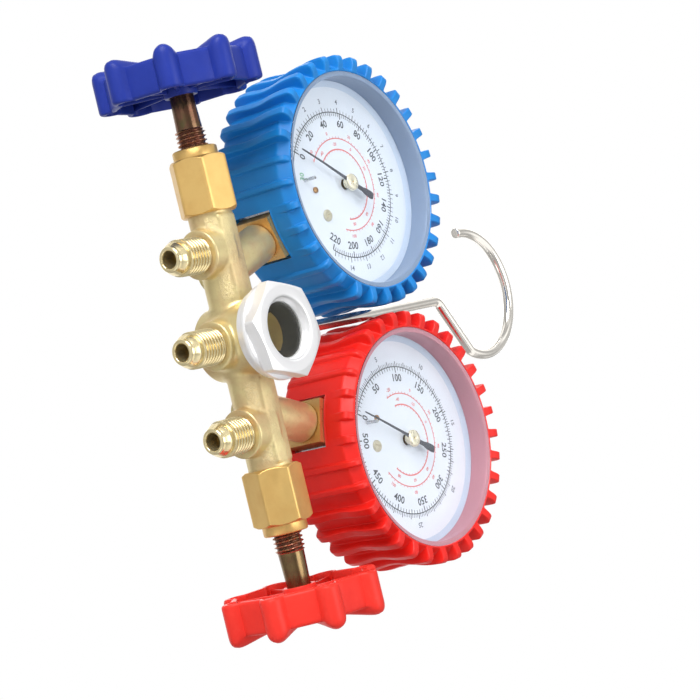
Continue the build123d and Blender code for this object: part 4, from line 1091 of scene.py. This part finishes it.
for name, side in SIDES.items():
    for label, rows, look in (("inner_ring", INNER_RING, RING[name]),
                              ("dial_border", BORDER, border_enamel)):
        make(f"{label}_{name}", turned(rows, 160, looped=True), gauge_frame(side), "manifold",
             look, sharp=35)
    make(f"lens_pane_{name}", turned(LENS, 160), gauge_frame(side), "manifold", lens_clear,
         [f"lens_{name}"], sharp=35)
    s = SCALES[name]
    zero, per, bar = s["zero"], s["per"], s["bar"]
    end = zero + per * s["top"]
    start = zero if side > 0 else VACUUM_FROM
    psi_marks = [(per * s["minor"] / 2, 22.3, 0.24), (per * s["major"] / 2, 22.1, 0.3),
                 (per * s["major"], 21.6, 0.4)]
    bar_marks = [(bar / 5, 24.7, 0.2), (bar, 25.2, 0.3)]
    print_on(f"scale_black_{name}", [strip(23.35, 23.65, start, end, PRINT)]
             + [ticks(np.arange(zero, end + 0.01, step), inner, 23.4, width, PRINT)
                for step, inner, width in psi_marks]
             + [ticks(np.arange(zero, end + 0.01, step), 23.6, outer, width, PRINT)
                for step, outer, width in bar_marks], side, ink_black)
    psi = [(str(v), 19.9, zero + per * v) for v in range(0, s["top"] + 1, s["major"])]
    figures(f"figures_{name}", psi, 3.3, side, ink_black, PRINT)
    bars = [(str(v), 27.0, zero + bar * v) for v in s["bars"]]
    figures(f"bar_figures_{name}", bars, 2.2, side, ink_grey, PRINT)
    print_on(f"scale_rose_{name}", [
        strip(11.2, 11.65, -118, 118, PRINT), strip(14.85, 15.2, -128, 128, PRINT),
        ticks(np.arange(-116, 117, 8), 10.8, 11.3, 0.2, PRINT),
        ticks(np.arange(-126, 127, 6), 15.1, 15.7, 0.2, PRINT)], side, ink_red)
    rose = [(str(v), 13.1, a) for v, a in zip(range(-40, 100, 20), range(-108, 120, 36))]
    rose += [(str(v), 16.9, a) for v, a in zip(range(-20, 110, 20), range(-120, 120, 39))]
    figures(f"rose_figures_{name}", rose, 1.5, side, ink_red, PRINT)
    if side < 0:
        figures("vacuum_figure", [("30", 20.0, -149.0)], 2.6, side, ink_green, PRINT)

# %% [markdown]
# ## Needles, caps and dial screws
# A needle is a thin plate whose half width changes along its length: fine at the tip, wider at
# the hub, and flared at its short tail. The cap is turned with a dimple. The dial is held by a
# small screw and a larger slotted one.

# %% Needles and caps
NEEDLE_AT, NEEDLE_HALF = -5.0, 0.16


def needle(turn):
    """A plate by its half width along its length, closed by its own thickness."""
    t = np.array([-10.8, -10.7, -9.6, -7.0, -5.6, -3.5, -2.0, 0, 2.0, 4.0, 12.0, 23.6, 24.0])
    w = np.array([0.7, 1.05, 1.25, 1.15, 0.75, 0.65, 0.9, 1.2, 0.8, 0.42, 0.32, 0.16, 0.08])
    along, across = disc_point(1.0, turn), disc_point(1.0, turn + 90)
    points = np.stack([raised(t[:, None] * along + sign * w[:, None] * across, NEEDLE_AT + height)
                       for sign, height in ((-1, NEEDLE_HALF), (1, NEEDLE_HALF),
                                            (1, -NEEDLE_HALF), (-1, -NEEDLE_HALF))], 1)
    first, last = (np.repeat(p.mean(0)[None, None], 4, 1) for p in (points[0], points[-1]))
    return np.concatenate([first, points, last]).reshape(-1, 3), quads(len(t) + 2, 4)


def slotted_head():
    """Rows of a screw whose middle points are lowered where they lie within the slot."""
    rows = [(0, 0.62), (0.3, 0.62), (0.6, 0.62), (0.9, 0.62), (1.55, 0.56), (1.85, 0.3),
            (1.9, 0.03), (0.85, 0.0), (0.8, -1.6), (0, -1.6)]
    points, faces = turned(rows, 64)
    points[:, 2] += DIAL - 0.28 * (np.abs(points[:, 0]) < 0.28) * (points[:, 2] > 0.5)
    return points, faces


CAP = [(0, -4.62), (0.35, -4.62), (0.5, -4.3), (0.8, -4.12), (1.6, -4.1), (2.2, -4.2), (2.6, -4.45),
       (2.75, -4.8), (2.75, -5.35), (2.5, -5.5), (1.5, -5.55), (1.5, -7.3), (0, -7.3)]
SMALL_SCREW = [(0, -7.35), (0.6, -7.38), (0.95, -7.6), (1.0, -7.97), (0.8, -9.5), (0, -9.5)]
SCREW_ACROSS, SCREW_UP = 4.45, -14.5
for name, side in SIDES.items():
    where, pointer = gauge_frame(side), f"pointer_{name}"
    make(f"needle_{name}", needle(SCALES[name]["zero"]), where, pointer, needle_lacquer,
         [pointer], sharp=30)
    make(f"needle_cap_{name}", turned(CAP, 64), where, pointer, cap_brass,
         sharp=35)
    points, faces = turned(SMALL_SCREW, 40)
    make(f"dial_screw_{name}", (points + [-SCREW_ACROSS, SCREW_UP, 0], faces), where, "manifold",
         screw_brown, [f"dial_screws_{name}"], sharp=40)
    points, faces = slotted_head()
    make(f"slotted_screw_{name}", (points + [SCREW_ACROSS, SCREW_UP, 0], faces), where,
         "manifold", screw_pale, sharp=30)

# %% [markdown]
# ## Finishes for the CAD parts that stay
# Plain turned and stamped parts, mostly inside, keep their CAD surfaces and only need a finish.

# %% Carried-over nodes
STAYS = {"socket": socket_brass, "bourdon_tube": bright_brass, "tube_tip": bright_brass,
         "movement_front_plate": bright_brass, "movement_back_plate": bright_brass,
         "sector": bright_brass, "link": bright_brass, "arbor": bright_brass,
         "hairspring": bright_brass, "gauge_case": plated_steel, "case_screws": plated_steel,
         "stop_pin": plated_steel, "handwheel_screw": plated_steel, "hook_grub_screw": plated_steel,
         "valve_piston": port_brass, "seat_disc": seat_white, "piston_oring": seal_black,
         "dial": dial_enamel}
for node_name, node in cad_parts.items():
    kind = node_name.rsplit("_", 1)[0] if node_name.endswith(("_low", "_high")) else node_name
    if kind in STAYS:
        node.data.materials.clear()
        node.data.materials.append(STAYS[kind])
print(sum(1 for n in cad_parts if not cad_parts[n].hide_render), "CAD nodes shown")

# %% [markdown]
# ## Floor, light and camera
# The set hangs, so the floor lies well below it. The background is the world's own white for
# rays from the camera and for reflections; other rays see a dimmer sky. Soft area lamps stand
# off the camera's upper side, with a weak fill opposite.

# %% Floor and world
floor_mesh = bpy.data.meshes.new("floor")
floor_mesh.from_pydata([(-4, -4, -1.2), (4, -4, -1.2), (4, 4, -1.2), (-4, 4, -1.2)], [],
                       [(0, 1, 2, 3)])
floor = bpy.data.objects.new("floor", floor_mesh)
bpy.context.scene.collection.objects.link(floor)
floor_pale = finish("floor_pale", "#f2f2f2", "#eeeeee", "#e9e9e9", rough=(0.6, 0.8), scale=3,
                    bump=0, shader={"Emission Color": (1, 1, 1, 1)})
floor_mesh.materials.append(floor_pale)
tree = floor_pale.node_tree
to_camera = tree.nodes.new("ShaderNodeLightPath").outputs["Is Camera Ray"]
feed(tree, tree.nodes["Principled BSDF"].inputs["Emission Strength"],
     ranged(tree, to_camera, 0.0, 1.0, 0.0, 0.62))

world = bpy.data.worlds.new("studio")
bpy.context.scene.world = world
world.use_nodes = True
tree = world.node_tree
sky = tree.nodes["Background"].inputs
sky["Color"].default_value = (1, 1, 1, 1)
rays = tree.nodes.new("ShaderNodeLightPath").outputs
seen = rays["Is Camera Ray"]
for label in ("Is Glossy Ray", "Is Transmission Ray"):
    seen = math_node(tree, "MAXIMUM", seen, rays[label])
ray_way = tree.nodes.new("ShaderNodeTexCoord").outputs["Generated"]
room = ranged(tree, noise(tree, ray_way, 1.7, 1.0, 0.4), 0.4, 0.58, 0.45, 1.15)
bright = blended(tree, rays["Is Glossy Ray"], 1.0, room, colours=False)
feed(tree, sky["Strength"], ranged(tree, seen, 0.0, 1.0, 0.4, bright))

# %% Lamps and camera
CENTRE = np.array([0.0, -0.005, -0.09])
RIGHT = np.array([0.2344, -0.7735, 0.5889])
UP = np.array([-0.9721, -0.1922, 0.1344])
BACK = -np.array([-0.0092, 0.6040, 0.7970])


def lamp(name, right, up, back, distance, size, power):
    """A soft area lamp placed by the camera's own directions and aimed at the middle."""
    way = right * RIGHT + up * UP + back * BACK
    way = way / np.linalg.norm(way)
    data = bpy.data.lights.new(name, "AREA")
    data.shape, data.size, data.energy = "SQUARE", size, power
    thing = bpy.data.objects.new(name, data)
    bpy.context.scene.collection.objects.link(thing)
    thing.location = CENTRE + way * distance
    thing.rotation_euler = Vector(way).to_track_quat("Z", "Y").to_euler()
    thing.visible_camera = False


lamp("key", -0.25, 0.85, 0.75, 1.1, 0.7, 11.5)
lamp("side", 0.9, 0.15, 0.6, 1.2, 0.8, 6.0)
lamp("fill", -0.5, -0.6, 0.7, 1.3, 1.0, 3.5)
lamp("behind", 0.1, 0.3, -1.0, 1.3, 1.0, 6.0)

camera = bpy.data.objects.new("camera", bpy.data.cameras.new("camera"))
bpy.context.scene.collection.objects.link(camera)
camera.data.lens, camera.data.sensor_width = 110.57, 36.0
camera.location = (0.016196, -0.414850, -0.643708)
camera.rotation_euler = [math.radians(v) for v in (170.427, -36.079, -73.143)]
bpy.context.scene.camera = camera
bpy.context.scene.view_settings.view_transform = "Standard"
